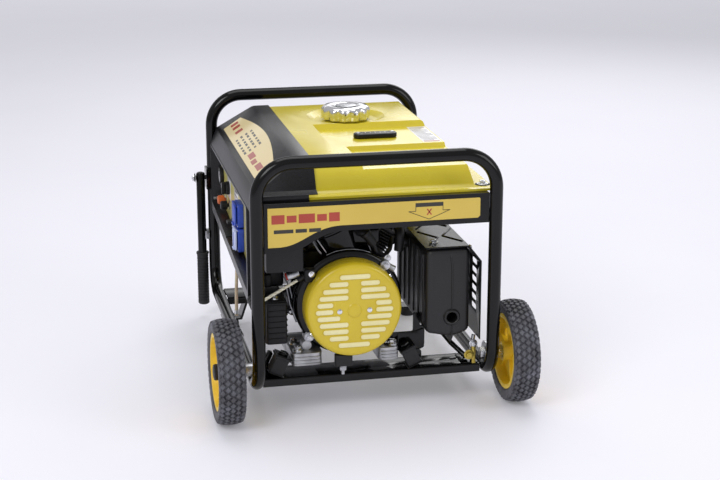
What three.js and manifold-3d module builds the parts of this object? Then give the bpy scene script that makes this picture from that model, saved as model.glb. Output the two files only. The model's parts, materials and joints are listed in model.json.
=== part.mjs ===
// Open-frame portable generator on two wheels, as an assembly of separate pieces.
// Millimetres. x runs across the machine, y from the recoil starter to the folding handles, z up.
import * as THREE from "three";
import { mergeVertices } from "three/addons/utils/BufferGeometryUtils.js";
import Module from "manifold-3d";

const wasm = await Module();
wasm.setup();

// ---- driving dimensions ----
const gap = 0.3; // left between pieces that touch
const sheet = 2.5; // steel sheet of the channels and panels

// tube frame
const tubeR = 12.7;
const hoopSpan = 450; // between the centrelines of a hoop's two legs
const hoopHeight = 505; // top centreline above the ground
const frameLength = 660; // between the two hoops
const topBend = 65;
const footBend = 53;
const railZ = 72; // centreline of the bottom rails

// wheels
const wheelR = 100;
const wheelWidth = 52;
const rimR = 74;
const axleR = 8;
const axleBack = 42; // from the near hoop to the axle
const wheelClear = 17; // from the rail to the wheel

// folding handles
const pivotZ = 324;
const handleR = 9.5;
const handleDrop = 288; // from the pivot to the free end
const gripR = 12.5;
const gripLength = 121;

// engine and alternator
const shaftX = -42;
const shaftZ = 213;
const starterR = 94.5; // recoil starter cover
const starterFront = 20; // from the near hoop to the cover's face
const starterDepth = 42;
const blowerR = 104;
const blowerDepth = 87;
const flywheelR = 86;
const crankcaseDepth = 85;
const cylinderLean = 32; // degrees from upright
const alternatorR = 88;
const rotorR = 60;
const shaftR = 14;
const channelWidth = 69;

// muffler and its shield
const mufflerWidth = 86;
const mufflerDepth = 250;
const shieldGap = 19;

// fuel tank
const tankClear = 1.3; // from the hoops' tubes to the tank's flange
const tankTop = 17; // from the hoop's centreline down to the tank's highest face
const capR = 51;
const neckR = 38;

// control side
const boxDepth = 94;
const plateInset = 23; // from the bezel's face to the plate
const socketSize = 48;
const socketWellR = 18.5;

// ---- derived places ----
const legX = hoopSpan / 2;
const innerX = legX - tubeR - gap;
const tankInset = tubeR + tankClear;
const bandTop = hoopHeight - 75;
const bandBottom = bandTop - 57;
const tankZ = bandTop + gap;
const deckZ = railZ + 6;
const farY = frameLength;
const saddleHalf = 18; // half the length of the handles' saddle plates, which end the machine
const nearHoopY = -(axleBack - wheelR + frameLength + saddleHalf) / 2;
const wheelX = legX + tubeR + wheelClear + wheelWidth / 2;

// ---- materials ----
function finish(color, roughness, metalness) {
  return new THREE.MeshStandardMaterial({ color, roughness, metalness });
}
const blackPaint = finish(0x1b1b1d, 0.3, 0.2);
const yellowPaint = finish(0xcdc032, 0.3, 0.1);
const blackPlastic = finish(0x2d2c30, 0.55, 0);
const yellowPlastic = finish(0xcdb93c, 0.45, 0);
const rubber = finish(0x1a1a1a, 0.85, 0);
const chrome = finish(0xe0e0e2, 0.12, 1);
const castAluminium = finish(0xb9babd, 0.5, 0.9);
const steel = finish(0x8d8f93, 0.4, 0.95);
const creamRope = finish(0xe6e2c8, 0.8, 0);
const paleFace = finish(0xd9cf7e, 0.5, 0);
const bluePlastic = finish(0x3c5bd0, 0.45, 0);
const orangePlastic = finish(0xd9702c, 0.45, 0);
const brass = finish(0xb8963e, 0.35, 0.9);

// ---- solids ----
// A closed geometry as a solid that can be joined and cut.
function solidOf(geometry) {
  const bare = geometry.index ? geometry.toNonIndexed() : geometry;
  bare.deleteAttribute("normal");
  bare.deleteAttribute("uv");
  const merged = mergeVertices(bare, 1e-4);
  const corners = merged.index.array;
  const faces = [];
  for (let i = 0; i < corners.length; i += 3) {
    const [a, b, c] = corners.slice(i, i + 3);
    if (a !== b && b !== c && a !== c) faces.push(a, b, c);
  }
  const build = (triVerts) =>
    new wasm.Manifold(
      new wasm.Mesh({
        numProp: 3,
        vertProperties: merged.attributes.position.array,
        triVerts: new Uint32Array(triVerts),
      }),
    );
  const solid = build(faces);
  return solid.volume() > 0 ? solid : build(faces.reverse());
}

function geometryOf(solid) {
  const mesh = solid.getMesh();
  const geometry = new THREE.BufferGeometry();
  geometry.setAttribute("position", new THREE.BufferAttribute(mesh.vertProperties, 3));
  geometry.setIndex(new THREE.BufferAttribute(mesh.triVerts, 1));
  const faceted = geometry.toNonIndexed();
  faceted.computeVertexNormals();
  return faceted;
}

// A block between two values on each axis.
function block([x0, x1], [y0, y1], [z0, z1]) {
  const box = new THREE.BoxGeometry(Math.abs(x1 - x0), Math.abs(y1 - y0), Math.abs(z1 - z0));
  box.translate((x0 + x1) / 2, (y0 + y1) / 2, (z0 + z1) / 2);
  return solidOf(box);
}

// Turns a shape made along +z so that it runs along the named axis.
const along = {
  x: new THREE.Matrix4().makeBasis(
    new THREE.Vector3(0, 1, 0),
    new THREE.Vector3(0, 0, 1),
    new THREE.Vector3(1, 0, 0),
  ),
  y: new THREE.Matrix4().makeBasis(
    new THREE.Vector3(1, 0, 0),
    new THREE.Vector3(0, 0, 1),
    new THREE.Vector3(0, -1, 0),
  ),
  z: new THREE.Matrix4(),
};

// The point at a distance along an axis, with its other two coordinates in x, y, z order.
function placeOn(axis, distance, [a, b]) {
  if (axis === "x") return [distance, a, b];
  if (axis === "y") return [a, distance, b];
  return [a, b, distance];
}

// A round bar along an axis.
function bar(axis, radius, [from, to], centre = [0, 0], sides = 24) {
  const rod = new THREE.CylinderGeometry(radius, radius, Math.abs(to - from), sides);
  rod.rotateX(Math.PI / 2);
  rod.applyMatrix4(along[axis]);
  rod.translate(...placeOn(axis, (from + to) / 2, centre));
  return solidOf(rod);
}

// A closed outline. A third number on a corner rounds it.
function outline(corners) {
  const shape = new THREE.Shape();
  const at = (i) => new THREE.Vector2(...corners.at(i % corners.length).slice(0, 2));
  corners.forEach(([x, y, round = 0], i) => {
    const corner = new THREE.Vector2(x, y);
    const before = at(i - 1).sub(corner).setLength(round).add(corner);
    const after = at(i + 1).sub(corner).setLength(round).add(corner);
    if (i === 0) shape.moveTo(before.x, before.y);
    else shape.lineTo(before.x, before.y);
    if (round) shape.quadraticCurveTo(corner.x, corner.y, after.x, after.y);
  });
  shape.closePath();
  return shape;
}

// An outline drawn on the other two axes, carried along the named one.
function prism(axis, corners, [from, to], steps = 3) {
  const shape = corners instanceof THREE.Shape ? corners : outline(corners);
  const depth = Math.abs(to - from);
  const body = new THREE.ExtrudeGeometry(shape, { depth, bevelEnabled: false, curveSegments: steps });
  body.applyMatrix4(along[axis]);
  const start = axis === "y" ? Math.max(from, to) : Math.min(from, to);
  body.translate(...placeOn(axis, start, [0, 0]));
  return solidOf(body);
}

// A profile of [radius, distance along] points turned round an axis.
function turned(axis, profile, centre = [0, 0], sides = 36) {
  const points = profile.map(([r, d]) => new THREE.Vector2(r, d));
  if (profile[0][0] > 0) points.push(points[0].clone());
  const body = new THREE.LatheGeometry(points, sides);
  body.rotateX(Math.PI / 2);
  if (axis === "x") body.applyMatrix4(along.x);
  if (axis === "y") body.rotateX(-Math.PI / 2);
  body.translate(...placeOn(axis, 0, centre));
  return solidOf(body);
}

// Straight runs and round bends through corner points, with rings only where the path turns.
class BentPath extends THREE.Curve {
  constructor(corners, bends, bendSteps = 5) {
    super();
    const points = corners.map((c) => new THREE.Vector3(...c));
    this.points = [points[0]];
    this.tangents = [points[1].clone().sub(points[0]).normalize()];
    for (let i = 1; i < points.length - 1; i++) {
      const into = points[i].clone().sub(points[i - 1]).normalize();
      const out = points[i + 1].clone().sub(points[i]).normalize();
      const turn = into.angleTo(out);
      const reach = bends[i - 1] * Math.tan(turn / 2);
      const centre = points[i].clone().addScaledVector(into, -reach);
      const inward = out.clone().addScaledVector(into, -out.dot(into)).normalize();
      centre.addScaledVector(inward, bends[i - 1]);
      for (let s = 0; s <= bendSteps; s++) {
        const angle = (turn * s) / bendSteps;
        const spoke = inward.clone().multiplyScalar(-Math.cos(angle));
        spoke.addScaledVector(into, Math.sin(angle)).multiplyScalar(bends[i - 1]);
        this.points.push(centre.clone().add(spoke));
        const heading = into.clone().multiplyScalar(Math.cos(angle));
        this.tangents.push(heading.addScaledVector(inward, Math.sin(angle)));
      }
    }
    this.points.push(points.at(-1));
    this.tangents.push(points.at(-1).clone().sub(points.at(-2)).normalize());
  }
  getSpacedPoints() {
    return this.points;
  }
  getTangentAt(u) {
    return this.tangents[Math.round(u * (this.points.length - 1))].clone();
  }
}

// A round tube along a bent path.
function tube(corners, bends, radius, sides = 14) {
  const path = new BentPath(corners, bends);
  const section = new THREE.Shape();
  section.absarc(0, 0, radius, 0, 2 * Math.PI);
  const options = { extrudePath: path, steps: path.points.length - 1, curveSegments: sides / 2 };
  return solidOf(new THREE.ExtrudeGeometry(section, options));
}

function joined(...solids) {
  return solids.reduce((all, next) => all.add(next));
}

// ---- the assembly ----
const generator = new THREE.Group();
const machine = new THREE.Group(); // its origin is under the middle of the near hoop
machine.position.y = nearHoopY;
generator.add(machine);

function piece(name, solid, material, group = machine) {
  const mesh = new THREE.Mesh(geometryOf(solid), material);
  mesh.name = name;
  group.add(mesh);
  return mesh;
}

function groupAt(x, y, z, parent = machine) {
  const group = new THREE.Group();
  group.position.set(x, y, z);
  parent.add(group);
  return group;
}

const bothSides = { left: -1, right: 1 };

// ---- tube frame: two hoops, each with half of both bottom rails ----
function hoop(y, railEnd, radius = tubeR) {
  const corners = [
    [-legX, railEnd, railZ],
    [-legX, y, railZ],
    [-legX, y, hoopHeight],
    [legX, y, hoopHeight],
    [legX, y, railZ],
    [legX, railEnd, railZ],
  ];
  return tube(corners, [footBend, topBend, topBend, footBend], radius);
}
const railJoint = frameLength / 2;
piece("near_frame", hoop(0, railJoint - gap / 2), blackPaint);
piece("far_frame", hoop(farY, railJoint + gap / 2), blackPaint);

// cross channels, open downwards, that carry the engine and the alternator
const channelDepth = 16;
function channel(y) {
  const low = deckZ - channelDepth;
  const back = y + channelWidth;
  const section = [
    [y, low],
    [y, deckZ, 3],
    [back, deckZ, 3],
    [back, low],
    [back - sheet, low],
    [back - sheet, deckZ - sheet],
    [y + sheet, deckZ - sheet],
    [y + sheet, low],
  ];
  return prism("x", section, [-innerX, innerX]);
}
const nearChannelY = 41;
const farChannelY = farY - nearChannelY - channelWidth;
const slotY = nearChannelY + channelWidth / 2;
const slotted = [28, 46].reduce((solid, inset) => {
  const x = innerX - inset;
  const slot = block([x - 5, x + 5], [slotY - 2.5, slotY + 2.5], [deckZ - 8, deckZ + 2]);
  return solid.subtract(slot);
}, channel(nearChannelY));
piece("near_channel", slotted, blackPaint);
piece("far_channel", channel(farChannelY), blackPaint);

// end bands between the hoop's legs, each with a lip that the tank's flange is bolted to
const lipDepth = 60;
const bandHalf = 1;
const dropZ = bandBottom - 36; // lowest edge of the near band's deep corner
const bandShape = new THREE.Shape();
bandShape.moveTo(-innerX, bandTop);
bandShape.lineTo(innerX, bandTop);
bandShape.lineTo(innerX, bandBottom);
bandShape.lineTo(-legX + 163, bandBottom);
bandShape.bezierCurveTo(-legX + 107, bandBottom, -legX + 97, dropZ, -legX + 47, dropZ);
bandShape.lineTo(-innerX, dropZ);
bandShape.closePath();
const nearBand = prism("y", bandShape, [-bandHalf, bandHalf], 8);
const nearLip = block([-innerX, innerX], [-bandHalf, lipDepth], [bandTop - sheet, bandTop]);
piece("front_panel", nearBand.add(nearLip), blackPaint);
const farBand = block([-innerX, innerX], [farY - bandHalf, farY + bandHalf], [bandBottom, bandTop]);
const farLip = block([-innerX, innerX], [farY - lipDepth, farY + bandHalf], [bandTop - sheet, bandTop]);
piece("rear_panel", farBand.add(farLip), blackPaint);

// ---- stand and rubber feet at the handle end ----
const standWidth = 40;
const standY = farChannelY + channelWidth / 2;
const standTop = deckZ - channelDepth - gap;
const footTop = 20;
const padOut = legX - 3;
const padIn = padOut - 43;
const kneeX = padIn - 13;
const wall = 4;
const standHalf = [
  [padIn, footTop],
  [padOut, footTop],
  [padOut, footTop + wall],
  [padIn + wall, footTop + wall, 2],
  [kneeX + wall, standTop, 3],
];
const standInner = [[kneeX, standTop - wall]];
const mirrored = (points) => points.map(([x, z, r]) => [-x, z, r]).reverse();
const standOutline = [...standInner, ...standHalf, ...mirrored(standHalf), ...mirrored(standInner)];
piece("stand", prism("y", standOutline, [standY - standWidth / 2, standY + standWidth / 2]), blackPaint);
const footR = 17;
for (const [side, sign] of Object.entries(bothSides)) {
  const foot = [
    [0, 0],
    [footR - 2, 0],
    [footR, 3],
    [footR - 2, footTop - gap],
    [0, footTop - gap],
  ];
  const place = groupAt((sign * (padOut + padIn)) / 2, standY, 0);
  piece("foot_" + side, turned("z", foot, [0, 0], 20), rubber, place);
}

// ---- wheels on stub axles ----
const bracketHalf = 4;
const hubR = 18;
for (const [side, sign] of Object.entries(bothSides)) {
  // stub axle with its gusset plate, which stands on the rail inside the hoop's bend
  const axleAt = groupAt(sign * legX, axleBack, wheelR);
  const hubIn = wheelX - legX - wheelWidth / 2 + 1;
  const hubOut = hubIn + wheelWidth * 0.8;
  const gusset = [
    [-24, railZ - wheelR],
    [24, railZ - wheelR],
    [24, 6, 8],
    [12, 22, 8],
    [-12, 22, 8],
    [-24, 6, 8],
  ];
  const frameHere = hoop(0, railJoint, tubeR + gap).translate([-sign * legX, -axleBack, -wheelR]);
  const stub = joined(
    prism("x", gusset, [-bracketHalf, bracketHalf]),
    bar("x", 12, [-sign * 14, -sign * 2], [0, 0], 6),
    bar("x", axleR, [-sign * 5, sign * (hubOut + 7)], [0, 0], 20),
    bar("x", 12.5, [sign * 2, sign * (hubIn - gap)], [0, 0], 20),
    bar("x", 11.5, [sign * (hubOut + gap), sign * (hubOut + 6)], [0, 0], 6),
  ).subtract(frameHere);
  piece("axle_" + side, stub, steel, axleAt);

  const wheel = groupAt(sign * wheelX, axleBack, wheelR);
  const half = wheelWidth / 2;
  const barrel = half - 4;
  const web = 4;
  const hubFrom = sign * (hubIn - (wheelX - legX));
  const hubTo = sign * (hubOut - (wheelX - legX));
  const rimProfile = [
    [axleR + gap, hubFrom],
    [hubR, hubFrom],
    [hubR, -sign * web],
    [rimR - 8, -sign * web],
    [rimR - 8, -sign * barrel],
    [rimR - gap, -sign * barrel],
    [rimR - gap, sign * barrel],
    [rimR - 8, sign * barrel],
    [rimR - 8, sign * web],
    [hubR, sign * web],
    [hubR, hubTo],
    [axleR + gap, hubTo],
  ];
  const holes = 6;
  const holeRing = (hubR + rimR - 8) / 2;
  let rim = turned("x", rimProfile, [0, 0], 28);
  for (let i = 0; i < holes; i++) {
    const angle = (i * 2 * Math.PI) / holes;
    const centre = [holeRing * Math.sin(angle), holeRing * Math.cos(angle)];
    rim = rim.subtract(bar("x", 12, [-half, half], centre, 12));
  }
  piece("rim_" + side, rim, yellowPlastic, wheel);
  const tyreProfile = [
    [rimR, -barrel],
    [wheelR * 0.84, -half + 1],
    [wheelR * 0.93, -half],
    [wheelR * 0.98, -half + 3],
    [wheelR, -half + 10],
    [wheelR, half - 10],
    [wheelR * 0.98, half - 3],
    [wheelR * 0.93, half],
    [wheelR * 0.84, half - 1],
    [rimR, barrel],
  ];
  piece("tyre_" + side, turned("x", tyreProfile, [0, 0], 36), rubber, wheel);
}

// ---- folding handles on the far hoop, hanging down when stowed ----
const pinR = 5;
const handleX = tubeR + handleR + 4.8; // from the leg's centreline
for (const [side, sign] of Object.entries(bothSides)) {
  const pivot = groupAt(sign * legX, farY, pivotZ);
  const cheek = tubeR + 3.3;
  const saddle = block([sign * 7, sign * cheek], [-saddleHalf, saddleHalf], [-24, 22]);
  const leg = bar("z", tubeR + gap, [-30, 30], [0, 0], 28);
  const bracket = joined(
    saddle.subtract(leg),
    bar("x", pinR, [sign * (cheek - 1), sign * (handleX + handleR + 3)], [0, 0], 16),
    bar("x", 9, [sign * (handleX + handleR + 1), sign * (handleX + handleR + 5)], [0, 0], 6),
  );
  piece("handle_bracket_" + side, bracket, blackPaint, pivot);

  const arm = bar("z", handleR, [-handleDrop, 12], [sign * handleX, 0], 20);
  const pinHole = bar("x", pinR + gap, [sign * 10, sign * 50], [0, 0], 16);
  piece("handle_" + side, arm.subtract(pinHole), blackPaint, pivot);

  const gripEnd = -handleDrop - 3;
  const gripTop = gripEnd + gripLength;
  const flangeR = handleX - tubeR - gap;
  const gripProfile = [
    [0, gripEnd],
    [gripR - 2, gripEnd],
    [gripR, gripEnd + 2],
    [gripR, gripTop - 4],
    [flangeR, gripTop - 4],
    [flangeR, gripTop],
    [handleR + gap, gripTop],
    [handleR + gap, -handleDrop - gap],
    [0, -handleDrop - gap],
  ];
  piece("grip_" + side, turned("z", gripProfile, [sign * handleX, 0], 20), rubber, pivot);
}

// ---- fuel tank ----
const tankHigh = hoopHeight - tankTop; // 488
const tankLow = tankHigh - 51;
const coverEdge = -legX + 119.5; // where the side cover meets the paint
const tankRight = legX - 29;
const tankFar = farY - 38;
const acrossTank = [
  [-legX + 21, tankZ],
  [-legX + 87, tankHigh - 8, 6],
  [coverEdge, tankHigh - 8],
  [coverEdge, tankHigh],
  [tankRight - 12, tankHigh, 8],
  [tankRight, tankLow],
  [tankRight, tankZ],
];
const alongTank = [
  [48, tankZ],
  [51, tankLow, 4],
  [72, tankHigh - 22],
  [92, tankHigh, 12],
  [tankFar - 14, tankHigh, 10],
  [tankFar - 2, tankLow],
  [tankFar, tankZ],
];
const flangeTop = tankZ + 4.5;
const flangeNear = tankInset;
const flangeFar = farY - 20;
const deckStepY = 240;
const plateauY = farY - 260;
const gaugeDeckZ = tankHigh - 12;
const nearDeckZ = tankHigh - 20;
const capX = 36;
const capY = farY - 187;
const dishR = 84;
const dishZ = tankHigh - 8;
const dish = [
  [0, dishZ],
  [dishR - 18, dishZ],
  [dishR, tankHigh + 1],
  [0, tankHigh + 1],
];
const neckTop = tankHigh + 2;
const neckBoreR = 28;
const tankBody = joined(
  prism("y", acrossTank, [20, farY]).intersect(prism("x", alongTank, [-legX, legX])),
  block([-legX + 97, legX + 1], [flangeNear, flangeFar], [tankZ, flangeTop]),
  block([-legX + 26, 0], [flangeNear + 8, flangeFar - 8], [tankZ, flangeTop]),
)
  .subtract(prism("x", [
    [0, gaugeDeckZ],
    [plateauY - 8, gaugeDeckZ],
    [plateauY, tankHigh + 9],
    [0, tankHigh + 9],
  ], [-49, legX]))
  .subtract(prism("x", [
    [0, nearDeckZ],
    [deckStepY - 8, nearDeckZ],
    [deckStepY, tankHigh + 9],
    [0, tankHigh + 9],
  ], [-12, legX]))
  .subtract(turned("z", dish, [capX, capY], 40))
  .add(bar("z", neckR, [dishZ - 3, neckTop], [capX, capY], 28))
  .subtract(bar("z", neckBoreR, [tankZ + 12, neckTop + 1], [capX, capY], 28));
piece("fuel_tank", tankBody, yellowPaint);

// moulded cover over the tank's side above the controls, open underneath and towards the tank
const coverWall = 3;
const coverX = -legX - 5;
const coverLow = bandTop - 26;
const coverTop = tankHigh + 0.5;
const coverFar = farY - tubeR - 5;
function coverBody(inset) {
  const across = [
    [coverX + inset, coverLow - inset],
    [coverX + 13 + inset, tankLow + 1],
    [-legX + 85 + inset * 0.7, coverTop - inset, 6],
    [coverEdge - gap + inset, coverTop - inset],
    [coverEdge - gap + inset, coverLow - inset],
  ];
  const lengthwise = [
    [tankInset + inset, coverLow - 9],
    [tankInset + inset, bandTop + 2],
    [50 + inset, tankLow + 3],
    [68 + inset, tankHigh - 18],
    [90 + inset, tankHigh + 6],
    [coverFar - 30 - inset, tankHigh + 6],
    [coverFar - inset, tankLow],
    [coverFar - inset, coverLow - 9],
  ];
  return prism("y", across, [0, farY]).intersect(prism("x", lengthwise, [-2 * legX, legX]));
}
const flangeRoom = block([-legX, 0], [0, farY], [bandTop - sheet - gap, flangeTop + 1]);
const flangeSlot = flangeRoom.intersect(block([-innerX - 4, 0], [0, farY], [0, 2 * hoopHeight]));
piece(
  "tank_side_cover",
  coverBody(0).subtract(coverBody(coverWall)).subtract(flangeSlot),
  blackPlastic,
);

// screw cap with its gasket, which lifts with it
const gasketTop = neckTop + gap + 3;
const cap = groupAt(capX, capY, 0);
const gasketProfile = [
  [neckBoreR + 2, neckTop + gap],
  [capR - 9, neckTop + gap],
  [capR - 9, gasketTop],
  [neckBoreR + 2, gasketTop],
];
piece("cap_gasket", turned("z", gasketProfile, [0, 0], 28), rubber, cap);
const capTop = gasketTop + 17.5;
const capProfile = [
  [0, gasketTop + gap],
  [capR - 7, gasketTop + gap],
  [capR - 7, neckTop - 6],
  [capR, neckTop - 6],
  [capR, capTop - 6],
  [capR - 6, capTop],
  [0, capTop],
];
let capSolid = turned("z", capProfile, [0, 0], 36);
const scallops = 12;
for (let i = 0; i < scallops; i++) {
  const angle = (i * 2 * Math.PI) / scallops;
  const reach = capR + 6;
  const notch = bar("z", 9, [0, 2 * hoopHeight], [reach * Math.cos(angle), reach * Math.sin(angle)], 12);
  capSolid = capSolid.subtract(notch);
}
piece("fuel_cap", capSolid, chrome, cap);

// fuel gauge on the middle deck
const gaugeLength = 88;
const gaugeHalf = 14;
const gaugeX = 62;
const gaugeY = 305;
const gaugeBody = prism("z", [
  [gaugeX - gaugeLength / 2, gaugeY - gaugeHalf, 12],
  [gaugeX + gaugeLength / 2, gaugeY - gaugeHalf, 12],
  [gaugeX + gaugeLength / 2, gaugeY + gaugeHalf, 12],
  [gaugeX - gaugeLength / 2, gaugeY + gaugeHalf, 12],
], [gaugeDeckZ + gap, gaugeDeckZ + 10]);
piece("fuel_gauge", gaugeBody, blackPlastic);

// ---- fuel valve under the tank, its lever, and the hose down to the carburettor ----
const valve = { x: -100, y: 178, drop: 42 };
const valveLow = tankZ - gap - valve.drop;
const valveAt = groupAt(valve.x, valve.y, 0);
const valveBody = joined(
  bar("z", 11, [tankZ - gap - 4, tankZ - gap], [0, 0], 6),
  bar("z", 6, [tankZ - gap - 16, tankZ - gap - 3], [0, 0], 16),
  block([-9, 9], [-9, 9], [tankZ - 34, tankZ - 14]),
  bar("z", 4, [valveLow, tankZ - 30], [0, 0], 16),
);
piece("fuel_valve", valveBody, brass, valveAt);
const leverZ = tankZ - 24;
const leverSolid = joined(
  bar("y", 7, [-16, -9 - gap], [0, leverZ], 20),
  block([-3.5, 3.5], [-16, -12], [leverZ - 32, leverZ]),
);
piece("fuel_valve_lever", leverSolid, orangePlastic, valveAt);

// ---- engine, modelled round its crankshaft ----
const engine = groupAt(shaftX, 0, shaftZ);
const blowerY = starterFront + starterDepth + 0.5;
const crankcaseY = blowerY + blowerDepth + 0.5;
const alternatorY = crankcaseY + crankcaseDepth + 0.5;
const alternatorEnd = farY - 140;
const coverEnd = farY - 62;
const deckLocal = deckZ - shaftZ;
const footBase = deckLocal + 20; // underside of the engine's feet

const faceR = starterR - 11.5;
const starterBack = starterFront + starterDepth;
const starterProfile = [
  [0, starterFront],
  [faceR, starterFront],
  [starterR - 3.5, starterFront + 4],
  [starterR, starterFront + 12],
  [starterR, starterBack],
  [starterR - 3, starterBack],
  [starterR - 3, starterFront + 13],
  [starterR - 6, starterFront + 7],
  [faceR - 1, starterFront + 3],
  [0, starterFront + 3],
];
piece("recoil_cover", turned("y", starterProfile, [0, 0], 36), yellowPaint, engine);

const baseTop = footBase + 18;
const blowerProfile = [
  [starterR - 14, blowerY],
  [blowerR - 6, blowerY],
  [blowerR, blowerY + 8],
  [blowerR, blowerY + blowerDepth],
  [blowerR - 3, blowerY + blowerDepth],
  [blowerR - 3, blowerY + 9],
  [blowerR - 8, blowerY + 3],
  [starterR - 14, blowerY + 3],
];
const belowBlower = block([-200, 200], [blowerY - 1, blowerY + 200], [-200, baseTop + gap]);
piece(
  "blower_housing",
  turned("y", blowerProfile, [0, 0], 36).subtract(belowBlower),
  blackPaint,
  engine,
);

// crankcase with its feet, hollow for the crank and open at the seat of the cylinder
const lean = THREE.MathUtils.degToRad(cylinderLean);
const seatDistance = 80;
const seatHalf = 46;
function onSeat(across, up) {
  return [
    up * Math.sin(lean) + across * Math.cos(lean),
    up * Math.cos(lean) - across * Math.sin(lean),
  ];
}
const caseOutline = [
  [-62, footBase],
  [60, footBase],
  [68, -40, 8],
  onSeat(seatHalf, seatDistance),
  onSeat(-seatHalf, seatDistance),
  [-45, 70, 12],
  [-64, 10, 12],
];
const footLeft = -113;
const footRight = 94;
const footY = 45;
const footDepth = crankcaseY + 10 - footY;
const caseMiddle = crankcaseY + crankcaseDepth / 2;
const crankRoomR = 52;
const blowerRoom = turned("y", [
  [0, footY],
  [blowerR + gap, footY],
  [blowerR + gap, crankcaseY - gap / 2],
  [0, crankcaseY - gap / 2],
]).subtract(belowBlower);
const crankcaseSolid = joined(
  prism("y", caseOutline, [crankcaseY, crankcaseY + crankcaseDepth]),
  block([footLeft, footRight], [crankcaseY - 10, crankcaseY + 40], [footBase, baseTop]),
  prism("z", [
    [footLeft, footY, 10],
    [footLeft + 59, footY, 14],
    [footLeft + 59, footY + footDepth],
    [footLeft, footY + footDepth],
  ], [footBase, footBase + 25]),
  prism("z", [
    [footRight - 40, footY, 14],
    [footRight, footY, 10],
    [footRight, footY + footDepth],
    [footRight - 40, footY + footDepth],
  ], [footBase, footBase + 25]),
)
  .subtract(blowerRoom)
  .subtract(bar("y", crankRoomR, [caseMiddle - 29, caseMiddle + 29], [0, 0], 32))
  .subtract(bar("y", shaftR + 1, [crankcaseY - 5, crankcaseY + crankcaseDepth + 5]));
piece("crankcase", crankcaseSolid, castAluminium, engine);

// finned cylinder and head, leaning towards the muffler
const barrelGroup = groupAt(0, caseMiddle, 0, engine);
barrelGroup.rotation.y = lean;
const finCount = 5;
const finPitch = 10.5;
const finBase = seatDistance + 12;
let cylinderSolid = joined(
  block([-42, 42], [-38, 38], [seatDistance + gap, seatDistance + 6]),
  bar("z", 32, [seatDistance + 3, seatDistance + 70], [0, 0], 24),
  block([-40, 40], [-36, 36], [finBase + finCount * finPitch - 4, finBase + finCount * finPitch + 10]),
  block([-30, 30], [-30, 30], [finBase + finCount * finPitch + 9, finBase + finCount * finPitch + 24]),
);
for (let i = 0; i < finCount; i++) {
  const z = finBase + i * finPitch;
  cylinderSolid = cylinderSolid.add(block([-46, 46], [-42, 42], [z, z + 3]));
}
piece("cylinder", cylinderSolid, castAluminium, barrelGroup);

// crankshaft, flywheel with its fan, and the alternator's rotor turn together
const crankEnd = alternatorY + 16;
const crankSolid = joined(
  bar("y", shaftR, [blowerY + 4, caseMiddle - 14]),
  bar("y", shaftR, [caseMiddle + 14, crankEnd]),
  bar("y", 44, [caseMiddle - 26, caseMiddle - 13], [0, 0], 20),
  bar("y", 44, [caseMiddle + 13, caseMiddle + 26], [0, 0], 20),
  bar("y", 11, [caseMiddle - 14, caseMiddle + 14], [0, 24], 16),
);
piece("crankshaft", crankSolid, steel, engine);

const discY = blowerY + 32;
const flywheelProfile = [
  [shaftR + gap, discY - 14],
  [26, discY - 14],
  [26, discY],
  [flywheelR, discY],
  [flywheelR, discY + 16],
  [flywheelR - 14, discY + 16],
  [flywheelR - 14, discY + 8],
  [shaftR + gap, discY + 8],
];
let flywheelSolid = turned("y", flywheelProfile, [0, 0], 24);
const blades = 8;
for (let i = 0; i < blades; i++) {
  const blade = new THREE.BoxGeometry(30, 22, 3);
  blade.translate(flywheelR - 20, discY - 10, 0);
  blade.rotateY((i * 2 * Math.PI) / blades);
  flywheelSolid = flywheelSolid.add(solidOf(blade));
}
piece("flywheel", flywheelSolid, castAluminium, engine);

const rotorFrom = crankEnd + gap;
const rotorTo = coverEnd - 22;
const coreFrom = alternatorY + 50;
const coreTo = alternatorEnd - 24;
const rotorProfile = [
  [0, rotorFrom],
  [12, rotorFrom],
  [12, coreFrom],
  [rotorR, coreFrom],
  [rotorR, coreTo],
  [12, coreTo],
  [12, rotorTo],
  [0, rotorTo],
];
piece("rotor", turned("y", rotorProfile, [0, 0], 24), steel, engine);

// alternator: stator in its housing, and an end cover that stands on the far channel
const statorProfile = [
  [shaftR + 4, alternatorY],
  [alternatorR, alternatorY],
  [alternatorR, alternatorEnd],
  [alternatorR - 8, alternatorEnd],
  [alternatorR - 8, coreTo],
  [rotorR + 3, coreTo],
  [rotorR + 3, coreFrom],
  [alternatorR - 8, coreFrom],
  [alternatorR - 8, alternatorY + 10],
  [shaftR + 4, alternatorY + 10],
];
piece("stator_housing", turned("y", statorProfile, [0, 0], 28), castAluminium, engine);
const endY = alternatorEnd + gap;
const endProfile = [
  [12 + gap, coverEnd],
  [alternatorR - 20, coverEnd],
  [alternatorR - 4, coverEnd - 14],
  [alternatorR, endY],
  [alternatorR - 5, endY],
  [alternatorR - 9, coverEnd - 16],
  [alternatorR - 24, coverEnd - 6],
  [12 + gap, coverEnd - 6],
];
const endFeet = prism("y", [
  [-70, footBase],
  [70, footBase],
  [70, footBase + 12],
  [44, -alternatorR + 24],
  [-44, -alternatorR + 24],
  [-70, footBase + 12],
], [coverEnd - 40, coverEnd - 24]);
const endInside = bar("y", alternatorR - 7, [endY - 1, coverEnd - 18], [0, 0], 36);
piece(
  "end_cover",
  turned("y", endProfile, [0, 0], 28).add(endFeet.subtract(endInside)),
  castAluminium,
  engine,
);

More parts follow.
